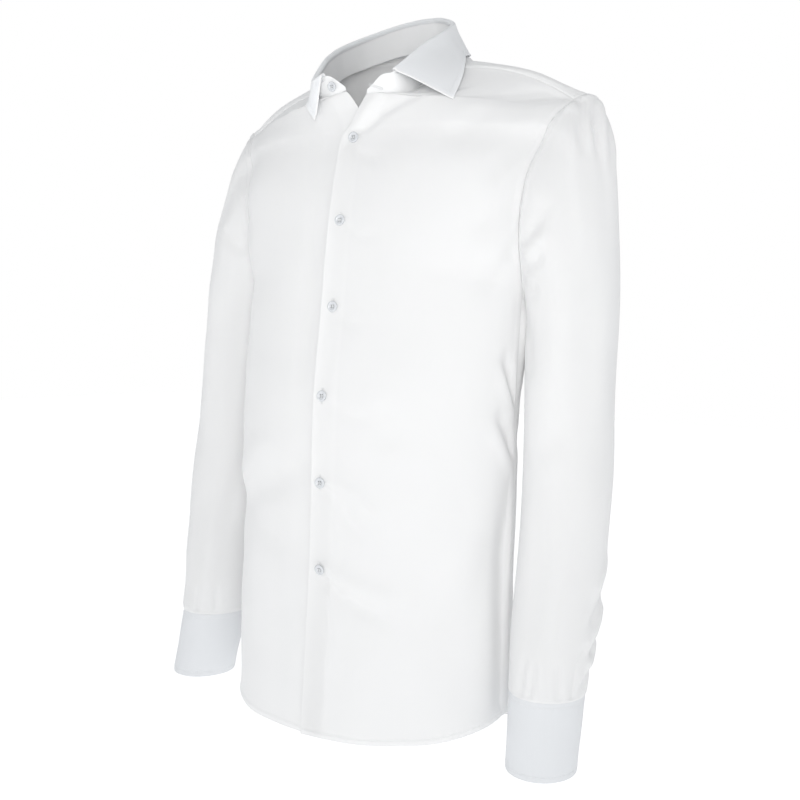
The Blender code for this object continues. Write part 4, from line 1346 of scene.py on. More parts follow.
@dataclass
class Sleeve:
    """One sleeve, from the armhole to the cuff, with its tucks, placket, cuff and button.

    Args:
        side: Which sleeve it is.
        folds: What it is pressed into, measured round it in radians from the outer line to the front, and by height.
        swing: How far the wrist hangs out.
        flare: How much further the edge of the cuff stands out.
        lift: How much higher the cuff hangs.
        outside: How far the sleeve head stands out at its outer line, as a share of its drop.
        drawn_in: How much further in the head's outer line hangs.
        thickness: One layer of the cloth.
        cuff_thickness: The cuff's thickness.
        seam_gap: How far under the sleeve's last round the cuff starts.
        cuff_opening: Where round the wrist the cuff's upper end lies.
        cuff_height: The cuff's height.
        cuff_taper: How much closer to the wrist its lower edge is.
        cuff_inset: How much closer to the wrist the cuff is than the sleeve.
        cuff_tilt: How far it goes forward for each metre down.
        cuff_lap: How far its ends lap.
        lap_rise: How far the upper end stands off the lower.
        pleats: Where round the wrist the tucks lie.
        pleat_width: How wide each is.
        pleat_depth: How deep each is, as a share of the sleeve's half width.
        gauntlet_width: The placket's width.
        gauntlet_rows: How many rows of the table it is long.
        gauntlet_lift: How far it lies over the sleeve.
        wrist: The sleeve's radius there.
        turn_round: Where the angles of folds start again below zero.
        girth: How many metres a radian is at the underarm seam.
        button: Where the cuff's button lies, as shares of the cuff's rows and columns.
        held: Its sewn edges and how wide the cloth is held flat beside them.
        cut: The width, length and area of the sleeve's cloth that shows. It is not used.
        cuff_cut: The cuff's width and length. It is not used.
        gauntlet_cut: The placket's width, length and area. It is not used.
        rounds: The sleeve's rounds below the armhole: the centre, the half widths and how far the tucks are drawn.
    """

    side: Side
    folds: tuple[Fold, ...] = ()
    swing: float = 0.0
    flare: float = 0.0
    lift: float = 0.0
    outside: float = 0.12
    drawn_in: float = 0.0
    thickness: float = SINGLE_CLOTH
    cuff_thickness: float = 0.0012
    seam_gap: float = 0.0003
    cuff_opening: float = 4.95
    cuff_height: float = 0.0765
    cuff_taper: float = 0.0020
    cuff_inset: float = 0.0013
    cuff_tilt: float = 0.10
    cuff_lap: float = 0.024
    lap_rise: float = 0.0022
    pleats: tuple[float, float] = (5.42, 5.80)
    pleat_width: float = 0.09
    pleat_depth: float = 0.06
    gauntlet_width: float = 0.024
    gauntlet_rows: float = 2.2
    gauntlet_lift: float = 0.0017
    wrist: float = 0.043
    turn_round: float = 4.712
    girth: float = 0.048
    button: tuple[float, float] = (0.46, 0.965)
    held: tuple[tuple[Edge, float], ...] = ((Edge.FIRST_ROW, 0.006), (Edge.LAST_ROW, 0.006))
    cut: tuple[float, float, float] = (0.44, 0.60, 0.182)
    cuff_cut: tuple[float, float, None] = (0.278, 0.077, None)
    gauntlet_cut: tuple[float, float, float] = (0.024, 0.138, 0.0031)
    rounds: SizeTable = SizeTable(
        "x y z half_x half_y pleat",
        (
            (0.2150, 0.0270, -0.3000, 0.0440, 0.0580, 0.0),
            (0.2172, 0.0210, -0.3700, 0.0438, 0.0555, 0.0),
            (0.2215, 0.0130, -0.4500, 0.0438, 0.0520, 0.0),
            (0.2225, 0.0030, -0.5300, 0.0425, 0.0500, 0.0),
            (0.2210, -0.0060, -0.5950, 0.0408, 0.0470, 0.4),
            (0.2200, -0.0120, -0.6490, 0.0385, 0.0425, 1.0),
        ),
    )

    def hang(self, points: np.ndarray) -> np.ndarray:
        """A left sleeve's points as they hang on this side."""
        moved = points.copy()
        down = -points[..., 2]
        moved[..., 0] += self.swing * fade(down, 0.25, 0.70) + self.flare * fade(down, 0.60, 0.76)
        moved[..., 2] += self.lift * fade(down, 0.20, 0.68)
        moved[..., 0] *= self.side.value
        return moved

    def ring(self, at: np.ndarray, angles: np.ndarray) -> np.ndarray:
        """Rounds of the sleeve below the armhole."""
        x, y, z, half_x, half_y, pleat = self.rounds.value("x y z half_x half_y pleat", at).T[:, :, None]
        c, s = np.cos(angles)[None], np.sin(angles)[None]
        tuck = 1 + 0 * c
        for place in self.pleats:
            tuck = tuck - self.pleat_depth * pleat * np.exp(-(((angles[None] - place) / self.pleat_width) ** 2))
        return np.stack((x + half_x * tuck * c, y - half_y * tuck * s, z + 0 * c), 2)

    def tube(self) -> Panel:
        """The sleeve's cloth: rounds from the armhole to the cuff."""
        angles = np.linspace(0, 2 * math.pi, 128, endpoint=False)
        loop = PATTERN.armhole(angles)
        first = self.ring(np.array([0.0]), angles)[0]
        c, s = np.cos(angles), np.sin(angles)
        outward = unit(np.stack((0.62 + 0.38 * c, -0.45 * s, -0.48 + 0.46 * c), 1))
        drop = np.linalg.norm(first - loop, axis=1)[:, None]
        over = np.maximum(c, 0)[:, None]
        fullness = 0.24 + (self.outside - 0.24) * over - 0.04 * np.minimum(c, 0)[:, None]
        leave = loop + outward * drop * fullness
        arrive = first + (0, 0, 1) * drop * (0.42 + 0.1 * c[:, None]) - (self.drawn_in, 0, 0) * over
        t = stops(0.19, 0.0027, first=0.012, fine=0.0011)[:-1]
        cap = bezier((loop, leave, arrive, first), t).transpose(1, 0, 2)
        lower = self.ring(self.rounds.last * stops(0.352, 0.0029, last=0.012, fine=0.0011), angles)
        grid = self.hang(np.concatenate((cap, lower), 0))
        panel = Panel(f"{self.side.word}_sleeve_cloth", grid, (0.17 * self.side.value, 0.03, -0.15), closed=True)
        turned = np.where(angles > self.turn_round, angles - 2 * math.pi, angles)
        panel.places = np.stack((np.broadcast_to(turned, grid.shape[:2]), grid[..., 2]), 2)
        hold = panel.freedom(self.held)
        panel.press(self.folds, hold)
        panel.waver(height=0.0006, length=0.07, seed=41 + self.side.value, hold=hold)
        panel.seam(Edge.FIRST_ROW, height=0.0007, width=0.007, sink=0.0)
        panel.seam(Edge.LAST_ROW, height=-0.0002, width=0.003, sink=0.0008)
        inside = np.exp(-(((angles - math.pi) * self.girth / 0.0015) ** 2))
        panel.push(np.broadcast_to(inside * 0.0006, grid.shape[:2]))
        panel.pucker(Edge.FIRST_ROW, line=0.003, height=0.0004, pitch=0.010, spread=0.006)
        return panel

    def cuff(self) -> Panel:
        """The cuff's cloth: a strip wound once round the wrist with its end lapped over its start."""
        x, y, z, half_x, half_y, _ = self.rounds.value("x y z half_x half_y pleat", np.array([self.rounds.last]))[0]
        total = 2 * math.pi + self.cuff_lap / half_y
        turns = self.cuff_opening - total * stops(0.29, 0.0024, first=0.009, last=0.009, fine=0.0009)
        lapped = fade(-(turns - self.cuff_opening), 1.75 * math.pi, 2 * math.pi) * self.lap_rise
        t = stops(self.cuff_height, 0.0025, first=0.009, last=0.009, fine=0.0009)[:, None]
        down = self.seam_gap + t * self.cuff_height
        shrink = self.cuff_inset + t * self.cuff_taper
        ring_x = x + (half_x - shrink + lapped) * np.cos(turns)
        ring_y = y - self.cuff_tilt * down - (half_y - shrink + lapped) * np.sin(turns)
        grid = self.hang(np.stack((ring_x, ring_y, z - down + 0 * turns), 2))
        panel = Panel(f"{self.side.word}_cuff_cloth", grid, (0.2195 * self.side.value, 0.0, -0.68))
        panel.ply[:] = 1.0
        for edge in Edge:
            panel.pucker(edge, line=CUFF_STITCH, height=0.0002, pitch=0.007, spread=0.004)
        panel.waver(height=0.0004, length=0.05, seed=5 + self.side.value)
        return panel

    def gauntlet(self) -> Panel:
        """The placket above the cuff: a strip with a pointed top."""
        along = stops(0.135, 0.0022)
        half_turn = self.gauntlet_width / 2 / self.wrist
        rows = []
        for step in along:
            row = np.array([self.rounds.last - step * self.gauntlet_rows])
            point = 1 - 0.92 * max(0.0, (step - 0.88) / 0.12)
            ring = self.ring(row, self.cuff_opening + half_turn * point * np.linspace(-1, 1, 13))[0]
            centre = self.rounds.value("x y z", row)[0]
            rows.append(ring + unit((ring - centre) * (1, 1, 0)) * self.gauntlet_lift)
        grid = self.hang(np.stack(rows))
        panel = Panel(f"{self.side.word}_gauntlet_cloth", grid, (0.2195 * self.side.value, 0.0, -0.68))
        panel.ply[:] = 1.0
        return panel

    def build(self, room: Workroom, sewing: Sewing) -> None:
        """Makes the sleeve, its placket and its cuff, and sews them."""
        word = self.side.word
        tube, cuff, strip = self.tube(), self.cuff(), self.gauntlet()
        room.cloth_piece(tube, f"{word}_sleeve", self.thickness)
        ends = (Edge.FIRST_COLUMN, Edge.LAST_COLUMN, Edge.LAST_ROW)
        # The cuff takes the darker, bluer finish: painted shade.
        room.cloth_piece(cuff, f"{word}_cuff", self.cuff_thickness, ends, room.crisp)
        room.cloth_piece(strip, f"{word}_gauntlet", self.thickness, tuple(Edge), None)
        edges = [cuff.inset(e, CUFF_STITCH, (CUFF_STITCH, CUFF_STITCH)) for e in Edge]
        sewing.run(f"{word}_cuff_stitching", edges)
        sides = [strip.inset(e, 0.0018, (0.002, 0.006)) for e in (Edge.FIRST_COLUMN, Edge.LAST_COLUMN)]
        sewing.run(f"{word}_placket_stitching", sides)
        armhole = [tube.inset(Edge.FIRST_ROW, d) for d in (0.0025, 0.0075)]
        sewing.run(f"{word}_armhole_stitching", armhole)
        place, normal = Buttons.spot(cuff, *self.button)
        Buttons().sew(room, f"{word}_cuff_button", place, normal, SMALL_BUTTON)
        sewing.buttonholes(f"{word}_cuff_buttonhole", [(place, normal, np.cross(normal, (0, 0, 1)))])


# --- Collar ----------------------------------------------------------------------------------------------------------


@dataclass
class Collar:
    """The standing band and the leaf that falls over it.

    Args:
        thickness: The interlined cloth.
        solid: How thick the frame's leaf is.
        rise: How far the leaf's roll stands over the band.
        roll: The roll's radius.
        gap: How far the band and the leaf lie off what is under them.
        tuck: How far down and in behind the band's top the leaf starts.
        stitch: How far the stitching runs from the leaf's edge.
        rest: How far over the shirt the leaf lies, left and right.
        reach: How far off the shirt a point of the leaf can lie and still be moved.
        margin: How far beside a panel it can lie.
        body_centre: A point inside the shirt.
        button: Where the band's button lies, as shares of its rows and columns.
        button_lift: How far it lies over the band.
        buttonhole: Where its buttonhole lies.
        hole_way: Which way the buttonhole runs.
        band_cut: The width, length and area of the band. It is not used.
        leaf_cut: The width, length and area of the leaf. It is not used.
        stations: From the centre back to the front ends: the roll, the band's height and the leaf's lower edge.
    """

    thickness: float = 0.0011
    solid: float = 0.0016
    rise: float = 0.0042
    roll: float = 0.0030
    gap: float = 0.0009
    tuck: tuple[tuple[float, float], ...] = ((0.0040, 0.0004), (0.0026, 0.0009), (0.0012, 0.0013))
    stitch: float = 0.0055
    rest: tuple[float, float] = (0.0015, 0.0042)
    reach: float = 0.02
    margin: float = 0.005
    body_centre: tuple[float, float, float] = (0.0, 0.03, -0.15)
    button: tuple[float, float] = (0.53, 0.045)
    button_lift: float = 0.0006
    buttonhole: tuple[float, float] = (0.62, 0.962)
    hole_way: tuple[float, float, float] = (1, -0.3, -0.5)
    band_cut: tuple[float, float, float] = (0.43, 0.034, 0.0125)
    leaf_cut: tuple[float, float, float] = (0.46, 0.085, 0.0265)
    stations: SizeTable = SizeTable(
        "roll_x roll_y roll_z left_band right_band left_x left_y left_z right_x right_y right_z",
        (
            (0.0000, 0.0680, 0.0643, 0.0330, 0.0330, 0.0000, 0.0880, 0.0190, 0.0000, 0.0880, 0.0190),
            (0.0265, 0.0645, 0.0615, 0.0330, 0.0330, 0.0370, 0.0815, 0.0150, 0.0370, 0.0815, 0.0150),
            (0.0565, 0.0390, 0.0450, 0.0310, 0.0310, 0.0730, 0.0540, 0.0102, 0.0735, 0.0540, 0.0102),
            (0.0655, 0.0060, 0.0295, 0.0300, 0.0300, 0.0895, 0.0150, -0.0010, 0.0850, 0.0180, 0.0000),
            (0.0640, -0.0150, 0.0155, 0.0300, 0.0300, 0.1010, -0.0080, -0.0170, 0.0850, 0.0000, -0.0130),
            (0.0600, -0.0330, -0.0015, 0.0300, 0.0300, 0.1085, -0.0280, -0.0365, 0.0765, -0.0250, -0.0300),
            (0.0500, -0.0620, -0.0320, 0.0280, 0.0280, 0.1099, -0.0473, -0.0613, 0.0625, -0.0580, -0.0525),
            (0.0340, -0.0660, -0.0320, 0.0205, 0.0250, 0.1099, -0.0473, -0.0613, 0.0460, -0.0640, -0.0740),
            (0.0200, -0.0645, -0.0350, 0.0050, 0.0050, 0.1099, -0.0473, -0.0613, 0.0460, -0.0640, -0.0740),
        ),
    )

    def frame(self, side: Side, at: np.ndarray) -> tuple[np.ndarray, np.ndarray, np.ndarray]:
        """For stations of one side of the neck: the seam, the way up the band and the way out from the neck."""
        seam = PATTERN.neck_seam(side, at)
        drawn = PATTERN.right_end(side, (at - PATTERN.leaf_end[0]) / 2)
        up = unit(self.stations.value("roll_x roll_y roll_z", at) + drawn - seam)
        last = PATTERN.neck.last
        ahead = PATTERN.neck_seam(side, np.clip(at + 0.02, 0, last))
        behind = PATTERN.neck_seam(side, np.clip(at - 0.02, 0, last))
        out = unit(np.cross(up, ahead - behind))
        mirror = (side.value, 1, 1)
        return seam * mirror, up * mirror, out * mirror

    def band_half(self, side: Side) -> np.ndarray:
        """One half of the band's outer face, from the centre back to its front end."""
        at = self.stations.last * stops(0.215, 0.0022)
        seam, up, _ = self.frame(side, at)
        height = self.stations.value(side.word + "_band", at)
        t = stops(0.032, 0.0016)[:, None, None]
        return seam + up * (self.gap + t * (height - self.gap))

    def clear_of(self, points: np.ndarray, panel: np.ndarray, distance: float) -> np.ndarray:
        """Points moved out from a panel wherever they lie closer to it than the distance."""
        across, along = np.gradient(panel, axis=1), np.gradient(panel, axis=0)
        normals = unit(np.cross(across, along))
        outward = np.sum(normals * (panel - self.body_centre), axis=2) >= 0
        normals = np.where(outward[:, :, None], normals, -normals).reshape(-1, 3)
        flat = panel.reshape(-1, 3)
        moved = points.reshape(-1, 3).copy()
        for i, point in enumerate(moved):
            near = np.argmin(np.sum((flat - point) ** 2, axis=1))
            height = np.dot(point - flat[near], normals[near])
            aside = np.linalg.norm(point - flat[near] - normals[near] * height)
            if abs(height) < self.reach and height < distance and aside < self.margin:
                moved[i] += normals[near] * (distance - height)
        return moved.reshape(points.shape)

    @staticmethod
    def evened(moves: np.ndarray, passes: int = 7) -> np.ndarray:
        """The moves of a grid's points, each drawn towards those of its neighbours."""
        for _ in range(passes):
            for axis in (0, 1):
                order = np.arange(moves.shape[axis])
                before = np.take(moves, np.maximum(order - 1, 0), axis)
                after = np.take(moves, np.minimum(order + 1, order[-1]), axis)
                moves = moves / 2 + (before + after) / 4
        return moves

    def leaf_half(self, side: Side) -> np.ndarray:
        """One half of the leaf's show face, from the band's top over the roll to its lower edge."""
        at = PATTERN.leaf_end[side.index] * stops(0.17, 0.0026, last=0.006)
        seam, up, out = self.frame(side, at)
        word = side.word
        top = seam + up * self.stations.value(f"{word}_band", at)
        edge = self.stations.value(f"{word}_x {word}_y {word}_z", at) * (side.value, 1, 1)
        centre = top + up * (self.rise - self.roll) + out * (self.roll - self.solid)
        rows = [top - up * down - out * inward for down, inward in self.tuck]
        rows.append(top + up * self.gap - out * self.solid)
        for angle in np.radians((180, 150, 120, 90, 60, 30)):
            rows.append(centre + self.roll * (out * math.cos(angle) + up * math.sin(angle)))
        start = centre + out * self.roll
        fall = np.linalg.norm(edge - start, axis=1)[:, None]
        straight = fade(at, 4.4, 6.0)[:, None]
        hanging = start - up * fall * 0.25
        level = start + (edge - start) * 0.33 + up * fall * 0.05
        points = (start, hanging + (level - hanging) * straight, edge + (start - edge) * 0.3, edge)
        fall_rows = bezier(points, stops(0.060, 0.0022, last=0.008)).transpose(1, 0, 2)
        chest = PATTERN.front(side, np.linspace(ARMPIT_ROW, PATTERN.fronts.last, 90), np.linspace(0, 1, 80))
        over = PATTERN.yoke_half(side, np.linspace(0, PATTERN.yoke.last, 60), np.linspace(0, 1, 40))
        over *= (side.value, 1, 1)
        distance = self.solid + self.rest[side.index]
        free = fall_rows.copy()
        for panel in (chest, over):
            fall_rows[1:] = self.clear_of(fall_rows[1:], panel, distance)
        if side is Side.RIGHT:
            fall_rows = free + self.evened(fall_rows - free)
        rows.extend(fall_rows)
        return np.stack(rows)

    def build(self, room: Workroom, sewing: Sewing) -> Panel:
        """Makes the band and the leaf, and stitches them.

        Returns:
            The band's panel, which carries the collar button.
        """
        halves = [np.concatenate((half(Side.RIGHT)[:, ::-1], half(Side.LEFT)[:, 1:]), 1)
                  for half in (self.band_half, self.leaf_half)]
        band = Panel("collar_band_cloth", halves[0], (0.0, 0.0, -0.02))
        leaf = Panel("collar_leaf_cloth", halves[1], (-0.30, -0.20, 0.0))
        # Doubled all over: the band thus takes its finish's paler colour, painted light, and the leaf its darker, bluer
        # one, painted shade.
        for panel in (band, leaf):
            panel.ply[:] = 1.0
        for edge in (Edge.LAST_ROW, Edge.FIRST_COLUMN, Edge.LAST_COLUMN):
            leaf.pucker(edge, self.stitch, height=0.00012, pitch=0.008, spread=0.003)
        ends = (Edge.FIRST_COLUMN, Edge.LAST_COLUMN)
        # Painted highlight: along the leaf's two front edges the layers mark falls to one layer, so the rim takes the
        # paler single colour.
        for edge in ends:
            leaf.ply *= fade(leaf.from_edge(edge)[0], 0.0006, 0.0016)
        free = (*ends, Edge.LAST_ROW)
        room.cloth_piece(band, "collar_band", self.thickness, free, room.band)
        room.cloth_piece(leaf, "collar_leaf", self.thickness, free, room.collar)
        lines = [leaf.inset(Edge.LAST_ROW, self.stitch, (self.stitch, self.stitch), lift=0.0001)]
        lines += [leaf.inset(e, self.stitch, (0.008, self.stitch), lift=0.0001) for e in ends]
        sewing.run("collar_stitching", lines)
        sewing.run("band_stitching", [band.inset(Edge.FIRST_ROW, 0.0018, (0.002, 0.002), lift=0.0001)])
        return band


# --- Buttons ---------------------------------------------------------------------------------------------------------


@dataclass(frozen=True)
class Buttons:
    """Four-hole buttons sewn on with thread.

    Args:
        radius: The button's radius.
        height: Its height at the rim.
        hole: Each hole's radius.
        spread: How far the holes lie from the middle.
        sides: How many sides its rim has.
        shank: How far a button lies off the cloth.
        strand: Half the thickness of its thread.
        heights: How high the front buttons are sewn.
    """

    radius: float = 0.0057
    height: float = 0.0024
    hole: float = 0.00085
    spread: float = 0.00155
    sides: int = 40
    shank: float = 0.0004
    strand: float = 0.00022
    heights: tuple[float, ...] = (-0.0937, -0.1797, -0.2703, -0.3609, -0.4515, -0.5421)

    @staticmethod
    def spot(panel: Panel, down: float, along: float) -> tuple[np.ndarray, np.ndarray]:
        """A place on a panel and the normal there, by shares of its rows and columns."""
        i, j = (round(share * (size - 1)) for share, size in zip((down, along), panel.grid.shape))
        return panel.grid[i, j], panel.normals()[i, j]

    def disc(self) -> bpy.types.Mesh:
        """The button's body with its four holes, its back at the origin and its face up."""
        rim, high = self.radius, self.height
        profile = [(0.0, 0.60), (0.38, 0.60), (0.50, 0.63), (0.60, 0.80), (0.68, 0.96), (0.76, 1.0), (0.86, 0.98),
                   (0.95, 0.86), (1.0, 0.62), (0.985, 0.36), (0.90, 0.14), (0.70, 0.0), (0.0, 0.0)]
        count = self.sides
        turns = np.linspace(0, 2 * math.pi, count, endpoint=False)
        points, faces = [(0, 0, profile[0][1] * high)], []
        for share, level in profile[1:-1]:
            points += [(math.cos(a) * share * rim, math.sin(a) * share * rim, level * high) for a in turns]
        points.append((0, 0, 0))
        for k in range(count):
            n = (k + 1) % count
            faces.append((0, 1 + k, 1 + n))
            for ring in range(len(profile) - 3):
                a, b = 1 + ring * count, 1 + (ring + 1) * count
                faces.append((a + k, b + k, b + n, a + n))
            faces.append((1 + (len(profile) - 3) * count + k, len(points) - 1, 1 + (len(profile) - 3) * count + n))
        body = placed("button_body", points, faces)
        ring = [(math.cos(t) * self.hole, math.sin(t) * self.hole) for t in turns[::4]]
        size = len(ring)
        ends = [tuple(range(size))[::-1], tuple(range(size, 2 * size))]
        walls = [(i, (i + 1) % size, size + (i + 1) % size, size + i) for i in range(size)]
        drills = []
        for k in range(4):
            a = math.pi / 4 + k * math.pi / 2
            shift = (math.cos(a) * self.spread, math.sin(a) * self.spread)
            pin = [(x + shift[0], y + shift[1], z) for z in (-high, 2 * high) for x, y in ring]
            drills.append(placed("drill", pin, ends + walls))
            cut = body.modifiers.new("Hole", "BOOLEAN")
            cut.operation, cut.solver, cut.object = "DIFFERENCE", "EXACT", drills[-1]
        made = bpy.data.meshes.new_from_object(body.evaluated_get(bpy.context.evaluated_depsgraph_get()))
        for extra in (body, *drills):
            bpy.data.objects.remove(extra, do_unlink=True)
        made.shade_smooth()
        made.set_sharp_from_angle(angle=math.radians(50))
        return made

    @staticmethod
    def tube(path: np.ndarray, radius: float, sides: int = 8) -> tuple[list, list]:
        """A round thread along a path.

        Args:
            path: Its points.
            radius: Half its thickness.
            sides: How many sides it has.

        Returns:
            Its points and its faces.
        """
        ways = unit(np.gradient(path, axis=0))
        side = unit(np.cross(ways, (0.3, 0.4, 0.87)))
        up = np.cross(ways, side)
        turns = np.linspace(0, 2 * math.pi, sides, endpoint=False)
        ring = np.cos(turns)[None, :, None] * side[:, None] + np.sin(turns)[None, :, None] * up[:, None]
        points = (path[:, None] + radius * ring).reshape(-1, 3)
        faces = [tuple(range(sides))[::-1], tuple(range((len(path) - 1) * sides, len(path) * sides))]
        for i in range(len(path) - 1):
            for k in range(sides):
                n = (k + 1) % sides
                faces.append((i * sides + k, i * sides + n, (i + 1) * sides + n, (i + 1) * sides + k))
        return points.tolist(), faces

    def sew(self, room: Workroom, name: str, place: np.ndarray, normal: np.ndarray, scale: float = 1.0) -> None:
        """Sews one button on, in place of its solid.

        Args:
            room: What it is finished with.
            name: The solid's name.
            place: Where its back lies.
            normal: Which way it faces.
            scale: Its size beside a front button.
        """
        turn = Vector(normal.tolist()).to_track_quat("Z", "Y").to_matrix().to_4x4()
        matrix = Matrix.Translation(place.tolist()) @ turn @ Matrix.Scale(scale, 4)
        mesh = self.disc()
        mesh.transform(matrix)
        body = room.add(mesh, name + "_pearl", room.pearl, "button_pearl")
        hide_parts(name)
        points, faces = [], []
        out = self.spread * math.sqrt(0.5)
        for lane in (-1, 1):
            for strand in (-0.22, 0.22):
                s = np.linspace(-1, 1, 9)
                x = (lane + strand) * out + 0 * s
                z = self.height * (0.60 + 0.30 * (1 - np.abs(s) ** 6) - 0.5 * fade(np.abs(s), 0.9, 1.0))
                path = np.stack((x, s * out * 1.1, z), 1)
                found, quads = self.tube(path, self.strand)
                faces += [tuple(len(points) + i for i in quad) for quad in quads]
                points += found
        thread = bpy.data.meshes.new(name + "_thread")
        thread.from_pydata(points, [], faces)
        thread.transform(matrix)
        thread.shade_smooth()
        room.add(thread, name + "_thread", room.thread, "white_poplin")

    def build(self, room: Workroom, sewing: Sewing, front: Panel, collar: Collar, band: Panel) -> None:
        """Sews on the buttons of the front and the collar band and works their buttonholes.

        Args:
            room: What they are finished with.
            sewing: What works the buttonholes.
            front: The upper front.
            collar: The collar, which says where its button and buttonhole lie.
            band: Its band.
        """
        flat, normals = front.grid, front.normals()
        holes = []
        for number, height in enumerate(self.heights, 1):
            away = np.hypot(flat[..., 0], flat[..., 2] - height)
            i, j = np.unravel_index(np.argmin(away), away.shape)
            self.sew(room, f"front_button_{number}", flat[i, j] + normals[i, j] * self.shank, normals[i, j])
            holes.append((flat[i, j], normals[i, j], (0, 0, 1)))
        (button, button_way), (hole, hole_way) = (
            (place, -normal if normal[1] > 0 else normal)
            for place, normal in (self.spot(band, *collar.button), self.spot(band, *collar.buttonhole))
        )
        self.sew(room, "collar_button", button + button_way * collar.button_lift, button_way, SMALL_BUTTON)
        holes.append((hole, hole_way, collar.hole_way))
        sewing.buttonholes("front_buttonholes", holes)


# --- Studio ----------------------------------------------------------------------------------------------------------


@dataclass(frozen=True)
class Studio:
    """The camera, the lights and the floor.

    Args:
        turn: How far round the camera stands from straight ahead, in degrees.
        distance: How far away it is.
        aside: How far it is shifted to its right.
        height: Its height.
        pitch: How far it looks down, in degrees.
        roll: How far it is tilted, in degrees.
        lens: Its focal length in millimetres.
        sensor: The sensor's width in millimetres.
        aim: What the lights point at.
        sky: How strong the light from all round is.
        floor_height: How high the floor lies.
        floor_size: Half its width.
    """

    turn: float = 31.9237
    distance: float = 1.0996
    aside: float = 0.0229
    height: float = -0.3047
    pitch: float = 3.361
    roll: float = -1.4023
    lens: float = 44.554
    sensor: float = 36
    aim: tuple[float, float, float] = (0.12, -0.05, -0.27)
    sky: float = 0.60
    floor_height: float = -1.30
    floor_size: float = 12.0

    def camera(self) -> None:
        """Sets the camera."""
        turn, pitch, roll = (math.radians(v) for v in (self.turn, self.pitch, self.roll))
        back = Vector((math.sin(turn), -math.cos(turn), 0))
        right = Vector((math.cos(turn), math.sin(turn), 0))
        up = Vector((0, 0, 1))
        forward = -back * math.cos(pitch) - up * math.sin(pitch)
        over = up * math.cos(pitch) - back * math.sin(pitch)
        axis_x = right * math.cos(roll) - over * math.sin(roll)
        axis_y = over * math.cos(roll) + right * math.sin(roll)
        place = back * self.distance + right * self.aside + up * self.height
        data = bpy.data.cameras.new("camera")
        data.lens, data.sensor_width = self.lens, self.sensor
        data.clip_start, data.clip_end = 0.05, 50
        camera = bpy.data.objects.new("camera", data)
        camera.matrix_world = Matrix.Translation(place) @ Matrix((axis_x, axis_y, -forward)).transposed().to_4x4()
        bpy.context.scene.collection.objects.link(camera)
        bpy.context.scene.camera = camera

    def softbox(self, name: str, place: tuple[float, float, float], size: float, power: float, spread: float) -> None:
        """A large square light that looks at the shirt.

        Args:
            name: The light's name.
            place: Where it stands.
            size: How wide it is.
            power: How strong it is, in watts.
            spread: How wide its beam is, in degrees.
        """
        data = bpy.data.lights.new(name, "AREA")
        data.size, data.energy, data.spread = size, power, math.radians(spread)
        data.color = (1.0, 0.985, 0.965)
        lamp = bpy.data.objects.new(name, data)
        way = Vector(place) - Vector(self.aim)
        lamp.matrix_world = Matrix.Translation(place) @ way.to_track_quat("Z", "Y").to_matrix().to_4x4()
        bpy.context.scene.collection.objects.link(lamp)

    def build(self) -> None:
        """Sets everything."""
        self.camera()
        scene = bpy.context.scene
        scene.view_settings.view_transform = "Standard"
        scene.view_settings.look = "None"
        world = bpy.data.worlds.new("studio")
        scene.world = world
        world.use_nodes = True
        tree = world.node_tree
        seen = tree.nodes["Background"]
        seen.inputs["Color"].default_value = (1, 1, 1, 1)
        seen.inputs["Strength"].default_value = 1.0
        light = tree.nodes.new("ShaderNodeBackground")
        light.inputs["Color"].default_value = (0.965, 0.982, 1.0, 1)
        light.inputs["Strength"].default_value = self.sky
        path = tree.nodes.new("ShaderNodeLightPath")
        mix = tree.nodes.new("ShaderNodeMixShader")
        tree.links.new(path.outputs["Is Camera Ray"], mix.inputs[0])
        tree.links.new(light.outputs[0], mix.inputs[1])
        tree.links.new(seen.outputs[0], mix.inputs[2])
        tree.links.new(mix.outputs[0], tree.nodes["World Output"].inputs[0])
        self.softbox("key", (0.82, -1.32, -0.15), size=0.7, power=1.30, spread=62)
        self.softbox("fill", (-1.3, -1.25, 0.0), size=1.2, power=0.42, spread=80)
        corners = [(x * self.floor_size, y * self.floor_size, self.floor_height)
                   for x, y in ((-1, -1), (1, -1), (1, 1), (-1, 1))]
        floor = placed("floor", corners, [(0, 1, 2, 3)])
        floor.data.materials.append(Paper("floor_paper").build())


# --- Folds -----------------------------------------------------------------------------------------------------------


@dataclass(frozen=True)
class Measure:
    """How the figures across a panel are read in a table of folds.

    Args:
        per_unit: How many of them make a metre, or a radian.
        across: How many metres that unit is.
    """

    per_unit: int
    across: float = 1.0


ALONG_THE_CLOTH, ROUND_THE_ARM = Measure(1000), Measure(100, 0.048)


def folds(measure: Measure, *rows: tuple[int, ...]) -> tuple[Fold, ...]:
    """Folds from a table.

    Args:
        measure: How the places across are read.
        rows: For each fold its places across and their heights in millimetres, its depth in tenths of a millimetre, its
            two half widths in millimetres, and the strength of its two ends in tenths.

    Returns:
        One fold for each row.
    """
    made = []
    for *places, depth, left, right, start, end in rows:
        path = tuple((a / measure.per_unit, z / 1000) for a, z in zip(places[::2], places[1::2]))
        made.append(Fold(path, depth / 10000, left / 1000, right / 1000, start / 10, end / 10, measure.across))
    return tuple(made)


